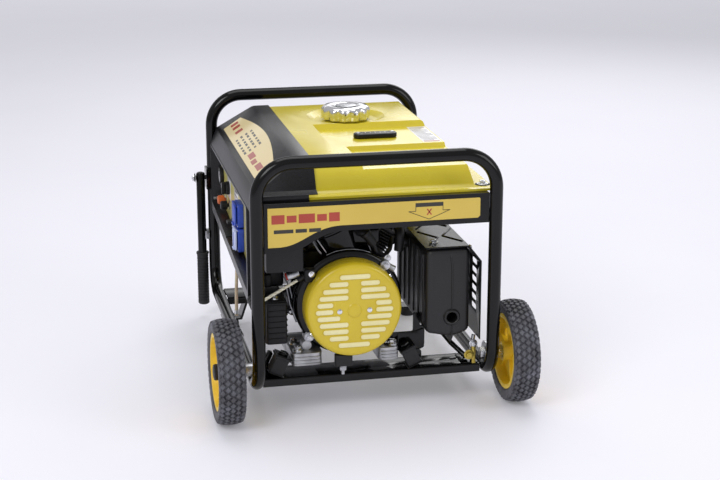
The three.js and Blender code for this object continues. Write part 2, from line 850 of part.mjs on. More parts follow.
// rubber mounts, each a tilted block between the near channel and the engine's foot
const mountTilt = 25.6;
const mountSize = [27, 30, 28];
for (const [side, sign] of Object.entries(bothSides)) {
  const footEdge = shaftX + (sign < 0 ? footLeft : footRight);
  const mount = groupAt(footEdge + sign * 24, nearChannelY + 16, deckZ + 25);
  mount.rotation.y = THREE.MathUtils.degToRad(-sign * mountTilt);
  const [w, d, h] = mountSize;
  const rubberBlock = joined(
    block([-w / 2, w / 2], [-d / 2, d / 2], [-h / 2 - 5, h / 2]),
    block([-w / 2 - 3, w / 2 + 3], [-d / 2 - 2, d / 2 + 2], [h / 2 - 1, h / 2 + 3]),
  );
  piece("engine_mount_" + side, rubberBlock, rubber, mount);
}

// ---- muffler, its heat shield and its bracket ----
const shieldX = legX - 19;
const mufflerRight = shieldX - shieldGap;
const mufflerLeft = mufflerRight - mufflerWidth;
const mufflerTop = bandBottom - 56;
const mufflerLow = shaftZ - 55;
const mufflerY = 30;
const seamX = mufflerLeft + 50;
const outletZ = mufflerLow + 23;
const mufflerOutline = [
  [mufflerLeft, mufflerTop, 12],
  [mufflerRight, mufflerTop, 12],
  [mufflerRight, mufflerLow, 8],
  [seamX + 10, mufflerLow - 8, 4],
  [seamX + 1, mufflerLow - 24, 3],
  [seamX - 10, mufflerLow - 8, 4],
  [mufflerLeft, mufflerLow, 8],
];
const mufflerSolid = joined(
  prism("y", mufflerOutline, [mufflerY, mufflerY + mufflerDepth]),
  bar("y", 15, [mufflerY - 3, mufflerY + 2], [seamX, outletZ], 24),
).subtract(bar("y", 10.5, [mufflerY - 5, mufflerY + 30], [seamX, outletZ], 20));
piece("muffler", mufflerSolid, blackPaint);

const shieldZ = mufflerTop + 3;
const shieldSheet = 1.5;
const shieldLow = mufflerLow - 25;
function shieldLine(inset) {
  return [
    [mufflerLeft - 3, shieldZ + inset],
    [mufflerRight - 5 + inset / 2, shieldZ + inset],
    [shieldX + inset, shieldZ - 31 + inset / 2],
    [shieldX + inset, shieldLow],
  ];
}
let shield = prism(
  "y",
  [...shieldLine(0), ...shieldLine(shieldSheet).reverse()],
  [mufflerY - 4, mufflerY + mufflerDepth + 5],
);
const ventPitch = 18;
const vents = Math.floor((shieldZ - 40 - shieldLow - 30) / ventPitch);
for (let i = 0; i < vents; i++) {
  const z = shieldZ - 42 - i * ventPitch;
  const vent = prism("x", [
    [mufflerY + 25, z - 5.5, 5],
    [mufflerY + 57, z - 5.5, 5],
    [mufflerY + 57, z + 5.5, 5],
    [mufflerY + 25, z + 5.5, 5],
  ], [shieldX - 3, shieldX + 4], 2);
  shield = shield.subtract(vent);
}
piece("heat_shield", shield, blackPaint);

const rightFoot = shaftX + footRight;
const footUp = shaftZ + footBase + 25;
const bracketY = footY + 33;
const stayOutline = [
  [rightFoot - 8, footUp + gap],
  [rightFoot - 8, footUp + 18, 3],
  [mufflerLeft - 14, footUp + 18, 4],
  [mufflerLeft - 14, mufflerLow + 20],
  [mufflerLeft - gap, mufflerLow + 20],
  [mufflerLeft - gap, mufflerLow - 5],
  [mufflerLeft + 9, mufflerLow - 8],
  [mufflerLeft + 9, footUp - 14, 6],
  [mufflerLeft + 2, footUp - 19],
  [rightFoot + gap, footUp - 19],
  [rightFoot + gap, footUp + gap],
];
const stayFoot = block([rightFoot - 24, rightFoot - 4], [bracketY - 16, bracketY + 16], [footUp + gap, footUp + 3.5]);
const roomByBlower = blowerRoom.translate([shaftX, 0, shaftZ]);
const stay = prism("y", stayOutline, [bracketY - 2, bracketY + 2]).add(stayFoot);
piece("muffler_bracket", stay.subtract(roomByBlower), blackPaint);

// ---- air filter and carburettor ----
const filter = {
  left: 10 - innerX,
  right: shaftX - blowerR - 14,
  low: shaftZ - 76,
  high: shaftZ + 11,
  near: 60,
  far: 200,
};
const filterSolid = prism("y", [
  [filter.left, filter.low, 6],
  [filter.right, filter.low, 6],
  [filter.right, filter.high, 6],
  [filter.left, filter.high, 6],
], [filter.near, filter.far]);
piece("air_filter", filterSolid, blackPlastic);

const carb = { near: 158, far: 192, low: shaftZ - 30, high: shaftZ + 2 };
const carbRight = shaftX - 64 - gap;
const carbMiddle = (carb.near + carb.far) / 2;
const carbX = (filter.right + carbRight) / 2;
const carbSolid = joined(
  bar("x", 14, [filter.right + gap, carbRight], [carbMiddle, carb.low + 16], 18),
  block([carbX - 14, carbX + 14], [carb.near, carb.far], [carb.low, carb.high]),
  bar("z", 12.5, [carb.low - 20, carb.low + 2], [carbX, carbMiddle], 18),
  bar("z", 4, [carb.high - 2, carb.high + 8], [carbX, carbMiddle + 6], 16),
);
piece("carburetor", carbSolid, castAluminium);

const chokeSolid = joined(
  bar("y", 5, [carb.near - 9, carb.near - gap], [carbX, carb.high - 7], 16),
  block([carbX - 3, carbX + 3], [carb.near - 9, carb.near - 6], [carb.high - 7, carb.high + 20]),
);
piece("choke_lever", chokeSolid, blackPlastic);

const hoseR = 4.5;
const hosePath = new THREE.CatmullRomCurve3([
  new THREE.Vector3(valve.x, valve.y, valveLow - gap),
  new THREE.Vector3(valve.x, valve.y, valveLow - 24),
  new THREE.Vector3((valve.x + carbX) / 2, (valve.y + carbMiddle) / 2 + 12, (valveLow + carb.high) / 2),
  new THREE.Vector3(carbX, carbMiddle + 6, carb.high + 32),
  new THREE.Vector3(carbX, carbMiddle + 6, carb.high + 8 + gap),
]);
const hoseSection = new THREE.Shape();
hoseSection.absarc(0, 0, hoseR, 0, 2 * Math.PI);
const hose = new THREE.ExtrudeGeometry(hoseSection, {
  extrudePath: hosePath,
  steps: 16,
  curveSegments: 5,
});
piece("fuel_hose", solidOf(hose), rubber);

// ---- recoil starter's rope and handle ----
const ropeR = 2.8;
const pull = { x: -legX + 1, y: 55, z: 223 };
const ropeOut = new THREE.Vector3(pull.x + 12, pull.y + 3, pull.z + 3);
const ropeIn = new THREE.Vector3(-125, pull.y + 3, 274);
const ropeLine = new THREE.LineCurve3(ropeOut, ropeIn);
const ropeSection = new THREE.Shape();
ropeSection.absarc(0, 0, ropeR, 0, 2 * Math.PI);
const rope = new THREE.ExtrudeGeometry(ropeSection, { extrudePath: ropeLine, steps: 1, curveSegments: 4 });
piece("starter_rope", solidOf(rope), creamRope);
const pullAt = groupAt(pull.x, pull.y, pull.z);
const pullSolid = joined(
  bar("y", 9.5, [-36, 36], [0, 0], 20),
  bar("x", 6, [0, 10], [3, 0], 16),
);
piece("starter_handle", pullSolid, blackPlastic, pullAt);

// ---- control box, set in the left side between the hoops ----
const plateX = -innerX + 4; // outer face of the plate
const bezelX = plateX - plateInset;
const boxNear = 92;
const boxFar = farY - tubeR - 1;
const boxTop = coverLow - 1;
const boxRight = bezelX + boxDepth;
const bezelSlope = 0.074; // the bezel's lower edge climbs towards the handles
const bezelLow = (y) => bandTop - 214 + (y - boxNear) * bezelSlope;
const rim = 8;
const lowerRim = 20;
function faceOutline(inset, lowInset) {
  return [
    [boxNear + inset, bezelLow(boxNear) + lowInset, 4],
    [boxFar - inset, bezelLow(boxFar) + lowInset, 4],
    [boxFar - inset, boxTop - inset / 2, 4],
    [boxNear + inset, boxTop - inset / 2, 4],
  ];
}
const housingNear = 20;
const housingLow = bandTop - 136;
const back = plateX + 5;
const housing = block([plateX + 2 + gap, boxRight], [housingNear, boxFar - 7], [housingLow, boxTop]);
const inside = block([plateX - 5, boxRight - 3], [housingNear + 3, boxFar - 10], [housingLow + 3, boxTop - 3]);
const insideFace = inside.intersect(prism("x", faceOutline(rim + 6, lowerRim + 6), [bezelX - 1, boxRight]));
const insideBack = inside.intersect(block([back, boxRight], [0, farY], [0, hoopHeight]));
const buttonY = farY - 259;
const buttonAt = { y: buttonY, z: bezelLow(buttonY) + lowerRim + 3.1 };
const buttonR = 5;
const buttonHole = bar("x", buttonR + 1, [bezelX, back + 1], [buttonAt.y, buttonAt.z], 16);
const boxSolid = joined(prism("x", faceOutline(0, 0), [bezelX, back]), housing)
  .subtract(buttonHole)
  .subtract(prism("x", faceOutline(rim, lowerRim), [bezelX - 1, plateX + 2 + gap]))
  .subtract(insideFace)
  .subtract(insideBack);
piece("control_box", boxSolid, blackPlastic);

const controls = groupAt(plateX, 0, 0); // its x = 0 is the plate's outer face
const plateSolid = prism("x", faceOutline(rim + gap, lowerRim + gap), [0, 2]).subtract(
  bar("x", buttonR + gap, [-2, 4], [buttonAt.y, buttonAt.z], 16),
);
piece("control_plate", plateSolid, paleFace, controls);
const onPlate = -gap;

const buttonSolid = joined(
  bar("x", buttonR, [-6, 4], [buttonAt.y, buttonAt.z], 16),
);
piece("reset_button", buttonSolid, blackPlastic, controls);

piece("voltmeter", bar("x", 20, [-9, onPlate], [farY - 48, bandTop - 92], 28), blackPlastic, controls);

const switchAt = { y: farY - 150, z: bandTop - 95 };
const switchAtPlate = groupAt(0, switchAt.y, switchAt.z, controls);
const switchSolid = joined(
  bar("x", 14, [-8, onPlate], [0, 0], 24),
  block([-17, -7], [-4, 4], [-13, 13]),
);
piece("engine_switch", switchSolid, blackPlastic, switchAtPlate);

const toggleAt = groupAt(-7, farY - 264, bandTop - 138, controls);
const toggleSolid = joined(
  bar("y", 6, [-9, 9], [0, 0], 20),
  block([-14, 0], [-8, 8], [-3, 3]),
);
piece("breaker_toggle", toggleSolid, blackPlastic, toggleAt);

const terminals = { terminal_red: [farY - 100, orangePlastic], terminal_black: [farY - 148, blackPlastic] };
for (const [name, [y, material]] of Object.entries(terminals)) {
  const place = groupAt(0, y, bandTop - 133, controls);
  const knob = joined(
    bar("x", 4, [-6, onPlate], [0, 0], 16),
    bar("x", 9, [-20, -5], [0, 0], 12),
  );
  piece(name, knob, material, place);
}

const socketY = 316;
const socketOut = 12.5;
const socketHalf = socketSize / 2;
const lowerSocketZ = bezelLow(socketY + socketHalf) + lowerRim + 0.65 + socketHalf;
const sockets = { upper: lowerSocketZ + socketSize + 3, lower: lowerSocketZ };
for (const [name, z] of Object.entries(sockets)) {
  const place = groupAt(0, socketY, z, controls);
  const half = socketHalf;
  const body = block([-socketOut, onPlate], [-half, half], [-half, half]);
  const well = bar("x", socketWellR, [-socketOut - 1, -3], [0, 0], 24);
  piece("socket_" + name, body.subtract(well), blackPlastic, place);

  const hinge = groupAt(-socketOut - 3 - gap, 0, half - 3, place);
  const lid = joined(
    bar("y", 3, [-half + 6, half - 6], [0, 0], 16),
    prism("x", [
      [-half + 2, 2],
      [half - 2, 2],
      [half - 2, -socketSize + 6, 6],
      [-half + 2, -socketSize + 6, 6],
    ], [-3, 1]),
  );
  piece("socket_lid_" + name, lid, bluePlastic, hinge);
}

export default generator;
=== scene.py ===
import json
import math

import bmesh
import bpy
from mathutils import Matrix, Vector

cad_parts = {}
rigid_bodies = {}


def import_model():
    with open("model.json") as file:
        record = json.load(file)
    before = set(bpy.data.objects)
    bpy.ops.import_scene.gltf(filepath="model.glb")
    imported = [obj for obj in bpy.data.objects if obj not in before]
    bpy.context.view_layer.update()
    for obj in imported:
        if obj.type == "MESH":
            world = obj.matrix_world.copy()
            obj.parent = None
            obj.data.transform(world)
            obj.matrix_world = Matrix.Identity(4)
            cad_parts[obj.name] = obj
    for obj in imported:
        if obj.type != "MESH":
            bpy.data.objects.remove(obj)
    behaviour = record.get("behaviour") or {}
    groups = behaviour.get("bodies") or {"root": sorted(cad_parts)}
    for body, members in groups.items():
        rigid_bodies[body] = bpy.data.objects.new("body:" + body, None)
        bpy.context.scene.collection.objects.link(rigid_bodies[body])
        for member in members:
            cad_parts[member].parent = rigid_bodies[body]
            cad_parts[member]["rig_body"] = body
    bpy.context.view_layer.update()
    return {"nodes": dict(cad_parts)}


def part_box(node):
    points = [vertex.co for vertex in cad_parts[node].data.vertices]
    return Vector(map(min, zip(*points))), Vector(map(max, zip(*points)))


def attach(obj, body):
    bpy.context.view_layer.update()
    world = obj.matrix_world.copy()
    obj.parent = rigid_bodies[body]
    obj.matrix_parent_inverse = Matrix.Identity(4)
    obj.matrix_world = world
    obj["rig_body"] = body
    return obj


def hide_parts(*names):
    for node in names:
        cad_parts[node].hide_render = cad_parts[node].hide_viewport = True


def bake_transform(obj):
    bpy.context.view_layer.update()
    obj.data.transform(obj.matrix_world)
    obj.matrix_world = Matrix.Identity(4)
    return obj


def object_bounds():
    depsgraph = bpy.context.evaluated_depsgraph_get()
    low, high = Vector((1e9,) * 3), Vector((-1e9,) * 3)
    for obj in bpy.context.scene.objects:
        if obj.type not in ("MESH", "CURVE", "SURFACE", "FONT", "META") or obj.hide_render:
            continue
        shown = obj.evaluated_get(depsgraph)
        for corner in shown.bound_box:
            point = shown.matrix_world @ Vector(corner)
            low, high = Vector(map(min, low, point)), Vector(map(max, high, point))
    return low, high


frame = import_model()

# Shapes are written in millimetres, and each finished piece is scaled to metres.
mm = 0.001


def nodeBox(node):
    low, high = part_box(node)
    return low / mm, high / mm


def middle(node):
    low, high = nodeBox(node)
    return (low + high) / 2


# colour and material helpers
def linear(hexColour):
    channels = [int(hexColour[i:i + 2], 16) / 255 for i in (0, 2, 4)]
    straight = [c / 12.92 if c <= 0.04045 else ((c + 0.055) / 1.055) ** 2.4 for c in channels]
    return (*straight, 1)


def addNode(tree, kind, inputs=None, **settings):
    node = tree.nodes.new("ShaderNode" + kind)
    for name, value in settings.items():
        setattr(node, name, value)
    for name, value in (inputs or {}).items():
        socket = node.inputs[name]
        if isinstance(value, bpy.types.NodeSocket):
            tree.links.new(value, socket)
        else:
            socket.default_value = value
    return node


def startMaterial(name, **shaderValues):
    material = bpy.data.materials.new(name)
    material.use_nodes = True
    tree = material.node_tree
    shader = tree.nodes["Principled BSDF"]
    for socket, value in shaderValues.items():
        shader.inputs[socket.replace("_", " ")].default_value = value
    place = addNode(tree, "TexCoord").outputs["Object"]
    return material, tree, shader, place


def patternScale(sizeMm):  # noise scale that makes features about this size, in a metre-sized space
    return 1 / (sizeMm * mm)


def fade(tree, value, low, high, toLow=0.0, toHigh=1.0):  # a value spread between two levels
    inputs = {"Value": value, "From Min": low, "From Max": high, "To Min": toLow, "To Max": toHigh}
    return addNode(tree, "MapRange", inputs).outputs["Result"]


def mixColour(tree, factor, first, second):
    node = addNode(tree, "Mix", data_type="RGBA")
    for socket, value in ((node.inputs[0], factor), (node.inputs[6], first), (node.inputs[7], second)):
        if isinstance(value, bpy.types.NodeSocket):
            tree.links.new(value, socket)
        else:
            socket.default_value = value
    return node.outputs[2]


def bumpFrom(tree, shader, height, depthMm, strength):
    inputs = {"Height": height, "Distance": depthMm * mm, "Strength": strength}
    tree.links.new(addNode(tree, "Bump", inputs).outputs["Normal"], shader.inputs["Normal"])


# materials
# Each kind of surface holds two noises as (feature size in mm, detail). The broad one blends the two colours
# between the two levels in "tint". "gloss" holds the levels of a noise and the roughness they give, and
# "relief" the depth in mm and strength of the bump.
surfaceKinds = {
    # gloss black powder coat on steel tube: wet-looking, with faint orange peel and dust in the gloss
    "powderCoat": {"fine": (3.5, 2.0), "broad": (60, 6.0), "tint": (0.45, 0.75),
                   "gloss": (0.3, 0.8, 0.09, 0.18), "relief": (0.06, 0.5), "shader": {"IOR": 1.38}},
    # baked enamel on pressed steel: smooth gloss with slight orange peel
    "enamel": {"fine": (5, 2.0), "broad": (90, 3.0), "tint": (0.35, 0.7), "gloss": (0.3, 0.8, 0.25, 0.34),
               "relief": (0.05, 0.45), "shader": {"IOR": 1.48, "Coat_Weight": 0.3, "Coat_Roughness": 0.16}},
    # injection-moulded polypropylene with a fine spark-eroded grain
    "grained": {"fine": (0.9, 3.0), "broad": (45, 2.0), "tint": (0.3, 0.7), "gloss": (0.3, 0.7, 0.39, 0.54),
                "glossFrom": "fine", "relief": (0.08, 0.5), "shader": {"IOR": 1.41}},
    # glossy moulded nylon with soft flow marks
    "nylon": {"fine": (1.1, 2.0), "broad": (18, 3.0), "tint": (0.35, 0.7), "gloss": (0.3, 0.8, 0.34, 0.48),
              "warp": 0.6, "relief": (0.04, 0.4), "shader": {"IOR": 1.53}},
    # matt moulded rubber with a bloom of pale dust
    "rubber": {"fine": (1.4, 4.0), "broad": (24, 5.0), "tint": (0.42, 0.75), "gloss": (0.3, 0.8, 0.6, 0.8),
               "relief": (0.12, 0.6), "shader": {"IOR": 1.52}},
    # bare or plated metal: its tone and gloss vary in soft patches over a fine grain
    "metal": {"fine": (0.6, 4.0), "broad": (14, 5.0), "tint": (0.35, 0.7), "gloss": (0.3, 0.75, 0.21, 0.364),
              "relief": (0.03, 0.5), "shader": {"Metallic": 1.0}},
    # satin heat-resistant paint on pressed steel, slightly browned and dusty
    "heatPaint": {"fine": (1.2, 4.0), "broad": (70, 5.0), "tint": (0.4, 0.75),
                  "gloss": (0.3, 0.8, 0.36, 0.52), "relief": (0.06, 0.5), "shader": {"IOR": 1.5}},
    # sand-cast aluminium: pale satin metal with a pebbled skin and darker pores
    "cast": {"fine": (1.6, 6.0), "broad": (26, 6.0), "tint": (0.4, 0.72), "gloss": (0.3, 0.7, 0.34, 0.56),
             "glossFrom": "fine", "relief": (0.18, 0.6), "shader": {"Metallic": 1.0}},
    # printed vinyl label: even ink under a thin clear film that ripples slightly
    "vinyl": {"fine": (25, 1.0), "broad": (120, 2.0), "tint": (0.3, 0.75), "relief": (0.12, 0.35),
              "shader": {"IOR": 1.46, "Roughness": 0.32, "Coat_Weight": 0.4, "Coat_Roughness": 0.12}},
    # clear soft vinyl hose, yellowed with age
    "hose": {"fine": (16, 3.0), "broad": (16, 3.0), "tint": (0.3, 0.7), "gloss": (0.3, 0.7, 0.3, 0.45),
             "relief": (0.2, 0.4), "shader": {"IOR": 1.5, "Subsurface_Weight": 0.1}},
}


def makeSurface(name, kind, colour, second, **changes):
    facts = {**surfaceKinds[kind], **changes}
    material, tree, shader, place = startMaterial(name, **facts["shader"])
    maps = {}
    for layer in ("fine", "broad"):
        size, detail = facts[layer]
        inputs = {"Vector": place, "Scale": patternScale(size), "Detail": detail}
        if layer == "broad":
            inputs["Distortion"] = facts.get("warp", 0.0)
        maps[layer] = addNode(tree, "TexNoise", inputs).outputs["Fac"]
    tint = mixColour(tree, fade(tree, maps["broad"], *facts["tint"]), linear(colour), linear(second))
    tree.links.new(tint, shader.inputs["Base Color"])
    if "gloss" in facts:
        roughness = fade(tree, maps[facts.get("glossFrom", "broad")], *facts["gloss"])
        tree.links.new(roughness, shader.inputs["Roughness"])
    bumpFrom(tree, shader, maps["fine"], *facts["relief"])
    return material


def makeRope():
    # braided nylon starter cord: slanting strands drawn 2.4 mm apart so that they show
    material, tree, shader, place = startMaterial("braidedStarterCord", IOR=1.53, Sheen_Weight=0.3)
    turn = addNode(tree, "Mapping", {"Vector": place, "Rotation": (0, math.radians(30), 0)})
    strands = addNode(tree, "TexWave", {"Vector": turn.outputs["Vector"], "Scale": patternScale(2.4) / 6.3,
                                        "Distortion": 1.5, "Detail": 1.0}, bands_direction="DIAGONAL")
    tint = mixColour(tree, strands.outputs["Fac"], linear("cdc7ab"), linear("efecd9"))
    tree.links.new(tint, shader.inputs["Base Color"])
    shader.inputs["Roughness"].default_value = 0.8
    bumpFrom(tree, shader, strands.outputs["Fac"], 0.5, 0.8)
    return material


enamelBlack = makeSurface("blackPowderCoat", "powderCoat", "040405", "09090a")
tankYellow = makeSurface("yellowTankEnamel", "enamel", "dbc92f", "d1be26")
coverYellow = makeSurface("recoilCoverEnamel", "enamel", "d9c02a", "d0b622")
# pale cream enamel on the louvre faces: a painted highlight for the white reflection their slanted faces
# catch from above
louvrePaintedHighlight = makeSurface("louvrePaintedHighlightEnamel", "enamel", "f3ebb6", "ebe0a0")
platePaint = makeSurface("yellowControlPlatePaint", "enamel", "d6cd7a", "cfc468")
plasticBlack = makeSurface("blackPolypropylene", "grained", "111013", "141317")
fasciaPlastic = makeSurface("fasciaPolypropylene", "grained", "070608", "141317", fine=(1.2, 3.0),
                            gloss=(0.3, 0.7, 0.23, 0.38))
gripRubber = makeSurface("gripRubber", "rubber", "151517", "222224", fine=(1.0, 4.0),
                         gloss=(0.3, 0.8, 0.56, 0.76))
mountRubber = makeSurface("mouldedRubber", "rubber", "111113", "222224")
# pale grey tyre rubber: partly real dust on the tread, partly painted light for the light the tread catches
dustAndSheenTyreRubber = makeSurface("dustAndSheenTyreRubber", "rubber", "46464b", "70707a", fine=(1.8, 4.0),
                         gloss=(0.3, 0.8, 0.5, 0.7))
rimYellow = makeSurface("yellowNylonRim", "nylon", "f8d22c", "ecc524")
bluePlastic = makeSurface("blueSocketPolyamide", "nylon", "2d4fc4", "2443ad", gloss=(0.3, 0.8, 0.39, 0.53))
paleBluePlastic = makeSurface("paleSocketPolyamide", "nylon", "c3cdf0", "b4c0ea")
orangePlastic = makeSurface("orangeTerminalPolyamide", "nylon", "d4682a", "c45c22")
redPlastic = makeSurface("redPolyamide", "nylon", "b3271f", "9c1f19")
chromePlate = makeSurface("chromePlatedSteel", "metal", "f0f0f2", "dcdde0", fine=(2.0, 4.0),
                          relief=(0.01, 0.5), gloss=(0.3, 0.75, 0.075, 0.13))
zincBolt = makeSurface("brightZincSteel", "metal", "d4d5d8", "a9abb0")
yellowZinc = makeSurface("yellowPassivatedZinc", "metal", "cdbb62", "b39c47", gloss=(0.3, 0.75, 0.225, 0.39))
brass = makeSurface("machinedBrass", "metal", "c9a75a", "b08c43")
steel = makeSurface("brushedSteel", "metal", "a9abae", "85878b", fine=(0.5, 4.0), relief=(0.04, 0.5),
                    gloss=(0.3, 0.75, 0.2625, 0.455))
darkMetal = makeSurface("darkCastIron", "metal", "5b5a5b", "403f40", fine=(1.4, 4.0), relief=(0.12, 0.5),
                        gloss=(0.3, 0.75, 0.375, 0.65))
copperWire = makeSurface("enamelledCopperWire", "metal", "b5683a", "96502a", fine=(1.2, 4.0),
                         relief=(0.2, 0.5), gloss=(0.3, 0.75, 0.2625, 0.455))
heatPaint = makeSurface("blackHeatPaint", "heatPaint", "151417", "1e1c1b")
castAluminium = makeSurface("castAluminium", "cast", "c6c7ca", "97989c")
ropeBraid = makeRope()
goldVinyl = makeSurface("goldVinylLabel", "vinyl", "d9bd52", "d0b146")
creamVinyl = makeSurface("creamVinylLabel", "vinyl", "e8d6a4", "e0c98c")
whiteVinyl = makeSurface("whiteVinylLabel", "vinyl", "e9e8ec", "dedde2")
orangeVinyl = makeSurface("orangeVinylLabel", "vinyl", "df9a4c", "d88f3f")
redInk = makeSurface("redPrintInk", "vinyl", "b0402c", "a03524")
blackInk = makeSurface("blackPrintInk", "vinyl", "26221c", "2e2a22")
hoseVinyl = makeSurface("paleVinylHose", "hose", "cdbfa2", "b7a688")

print("materials ready")


# shape helpers, all in millimetres
def bevelEdges(bm, edges, width, segments=2):
    bmesh.ops.bevel(bm, geom=list(edges), offset=width, offset_type="OFFSET", segments=segments,
                    profile=0.5, affect="EDGES", clamp_overlap=True, material=-1)


def addBlock(bm, low, high, bevel=0.0, segments=2):
    low, high = Vector(low), Vector(high)
    kept = set(bm.verts) if bevel else ()
    size = high - low
    made = bmesh.ops.create_cube(bm, size=1)["verts"]
    bmesh.ops.scale(bm, vec=size, verts=made)
    bmesh.ops.translate(bm, vec=(low + high) / 2, verts=made)
    if bevel:
        edges = {edge for vert in made for edge in vert.link_edges}
        bevelEdges(bm, edges, bevel, segments)
        made = [vert for vert in bm.verts if vert not in kept]
    return made


def turnTo(direction):
    return Vector(direction).to_track_quat("Z", "Y").to_matrix().to_4x4()


def addMesh(bm, other):
    # joins another shape into this one
    mesh = bpy.data.meshes.new("part")
    other.to_mesh(mesh)
    other.free()
    bm.from_mesh(mesh)
    bpy.data.meshes.remove(mesh)


def addBar(bm, start, end, radius, sides=32, bevel=0.0):
    start, end = Vector(start), Vector(end)
    way = end - start
    place = Matrix.Translation((start + end) / 2) @ turnTo(way)
    made = bmesh.ops.create_cone(bm, cap_ends=True, segments=sides, radius1=radius,
                                 radius2=radius, depth=way.length, matrix=place)["verts"]
    if bevel:
        caps = {e for v in made for e in v.link_edges if any(len(f.verts) > 4 for f in e.link_faces)}
        bevelEdges(bm, caps, bevel)


def addTurned(bm, profile, centre, axis, sides=64):
    # profile holds (radius, distance along axis) and starts and ends on the axis or closes on itself
    axis = Vector(axis).normalized()
    side = axis.orthogonal().normalized()
    centre = Vector(centre)
    verts = [bm.verts.new(centre + side * r + axis * d) for r, d in profile]
    closed = profile[0][0] > 0 and profile[-1][0] > 0
    edges = [bm.edges.new(pair) for pair in zip(verts, verts[1:])]
    if closed:
        edges.append(bm.edges.new((verts[-1], verts[0])))
    bmesh.ops.spin(bm, geom=verts + edges, cent=centre, axis=axis, steps=sides, angle=2 * math.pi,
                   use_merge=True)


def roundedLine(points, radii, steps=5):
    # corner points with each inner corner turned into an arc of its radius
    line = [Vector(points[0])]
    for before, corner, after, radius in zip(points, points[1:], points[2:], radii):
        before, corner, after = Vector(before), Vector(corner), Vector(after)
        into = (corner - before).normalized()
        out = (after - corner).normalized()
        turn = into.angle(out)
        if radius <= 0 or turn < 1e-4:
            line.append(corner)
            continue
        reach = radius * math.tan(turn / 2)
        inward = (out - into * out.dot(into)).normalized()
        centre = corner - into * reach + inward * radius
        for step in range(steps + 1):
            angle = turn * step / steps
            line.append(centre + radius * (into * math.sin(angle) - inward * math.cos(angle)))
    line.append(Vector(points[-1]))
    return line


def addTube(bm, line, radius, sides=32):
    # a round section carried along a line of points, its rings square to the line
    line = [Vector(p) for p in line]
    ways = []
    for i in range(len(line)):
        into = (line[i] - line[max(i - 1, 0)])
        out = (line[min(i + 1, len(line) - 1)] - line[i])
        ways.append((into.normalized() + out.normalized()).normalized())
    ring = bmesh.ops.create_circle(bm, cap_ends=False, segments=sides, radius=radius,
                                   matrix=Matrix.Translation(line[0]) @ turnTo(ways[0]))["verts"]
    first = list(ring)
    edges = list({e for v in ring for e in v.link_edges if all(w in ring for w in e.verts)})
    for i in range(1, len(line)):
        made = bmesh.ops.extrude_edge_only(bm, edges=edges)["geom"]
        ring = [g for g in made if isinstance(g, bmesh.types.BMVert)]
        edges = [g for g in made if isinstance(g, bmesh.types.BMEdge) and all(v in ring for v in g.verts)]
        bmesh.ops.translate(bm, vec=line[i] - line[i - 1], verts=ring)
        bend = ways[i - 1].rotation_difference(ways[i]).to_matrix()
        bmesh.ops.rotate(bm, cent=line[i], matrix=bend, verts=ring)
    for end in (first, ring):
        bmesh.ops.contextual_create(bm, geom=end)


def addPlate(bm, outline, axis, low, high, bevel=0.0, segments=2):
    # outline holds points on the other two axes; the plate runs from low to high on the named one
    spots = {"x": lambda a, b: (low, a, b), "y": lambda a, b: (a, low, b), "z": lambda a, b: (a, b, low)}
    verts = [bm.verts.new(spots[axis](a, b)) for a, b in outline]
    face = bm.faces.new(verts)
    made = bmesh.ops.extrude_face_region(bm, geom=[face])["geom"]
    way = {"x": (1, 0, 0), "y": (0, 1, 0), "z": (0, 0, 1)}[axis]
    moved = [g for g in made if isinstance(g, bmesh.types.BMVert)]
    bmesh.ops.translate(bm, vec=Vector(way) * (high - low), verts=moved)
    if bevel:
        ends = {e for v in verts + moved for e in v.link_edges if e.calc_face_angle(0) > 0.6}
        bevelEdges(bm, ends, bevel, segments)


def addSheet(bm, x0, x1, z0, z1, axis, low, high, radius, steps, bevel, segments):
    # a plate with four rounded corners
    corners = [(x0, z0), (x1, z0), (x1, z1), (x0, z1)]
    addPlate(bm, roundedOutline(corners, radius, steps), axis, low, high, bevel, segments)


def roundedOutline(corners, radius, steps=4):
    # a closed outline with every corner rounded by the same radius
    count = len(corners)
    line = []
    for i in range(count):
        three = [Vector((*corners[(i + k) % count], 0)) for k in (-1, 0, 1)]
        arc = roundedLine(three, [radius], steps)[1:-1]
        line += [(p.x, p.y) for p in arc]
    return line


def spoke(degrees):  # a unit step away from the engine's axis
    return Vector((math.cos(math.radians(degrees)), 0, math.sin(math.radians(degrees))))


def addHexBolt(bm, base, way, acrossFlats=10.0, height=6.0, washer=True):
    base, way = Vector(base), Vector(way).normalized()
    radius = acrossFlats / math.sqrt(3)
    if washer:
        addBar(bm, base, base + way * 1.4, radius * 1.45, 24, bevel=0.3)
    addBar(bm, base + way * 1.2, base + way * (1.2 + height), radius, 6, bevel=0.6)
    addBar(bm, base + way * (1.2 + height * 0.9), base + way * (2.2 + height), radius * 0.42, 14)


def smoothed(mesh, degrees):  # smooth shading, but not over edges sharper than this
    mesh.polygons.foreach_set("use_smooth", [True] * len(mesh.polygons))
    mesh.set_sharp_from_angle(angle=math.radians(degrees))


def makePiece(bm, name, body, material, stands=(), smoothDegrees=29, recalc=True):
    bmesh.ops.remove_doubles(bm, verts=bm.verts, dist=1e-4)
    if recalc:
        bmesh.ops.recalc_face_normals(bm, faces=bm.faces)
    bmesh.ops.scale(bm, vec=(mm, mm, mm), verts=bm.verts)
    mesh = bpy.data.meshes.new(name)
    bm.to_mesh(mesh)
    bm.free()
    mesh.materials.append(material)
    smoothed(mesh, smoothDegrees)
    piece = bpy.data.objects.new(name, mesh)
    bpy.context.scene.collection.objects.link(piece)
    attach(piece, body)
    if stands:
        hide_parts(*stands)
    return piece


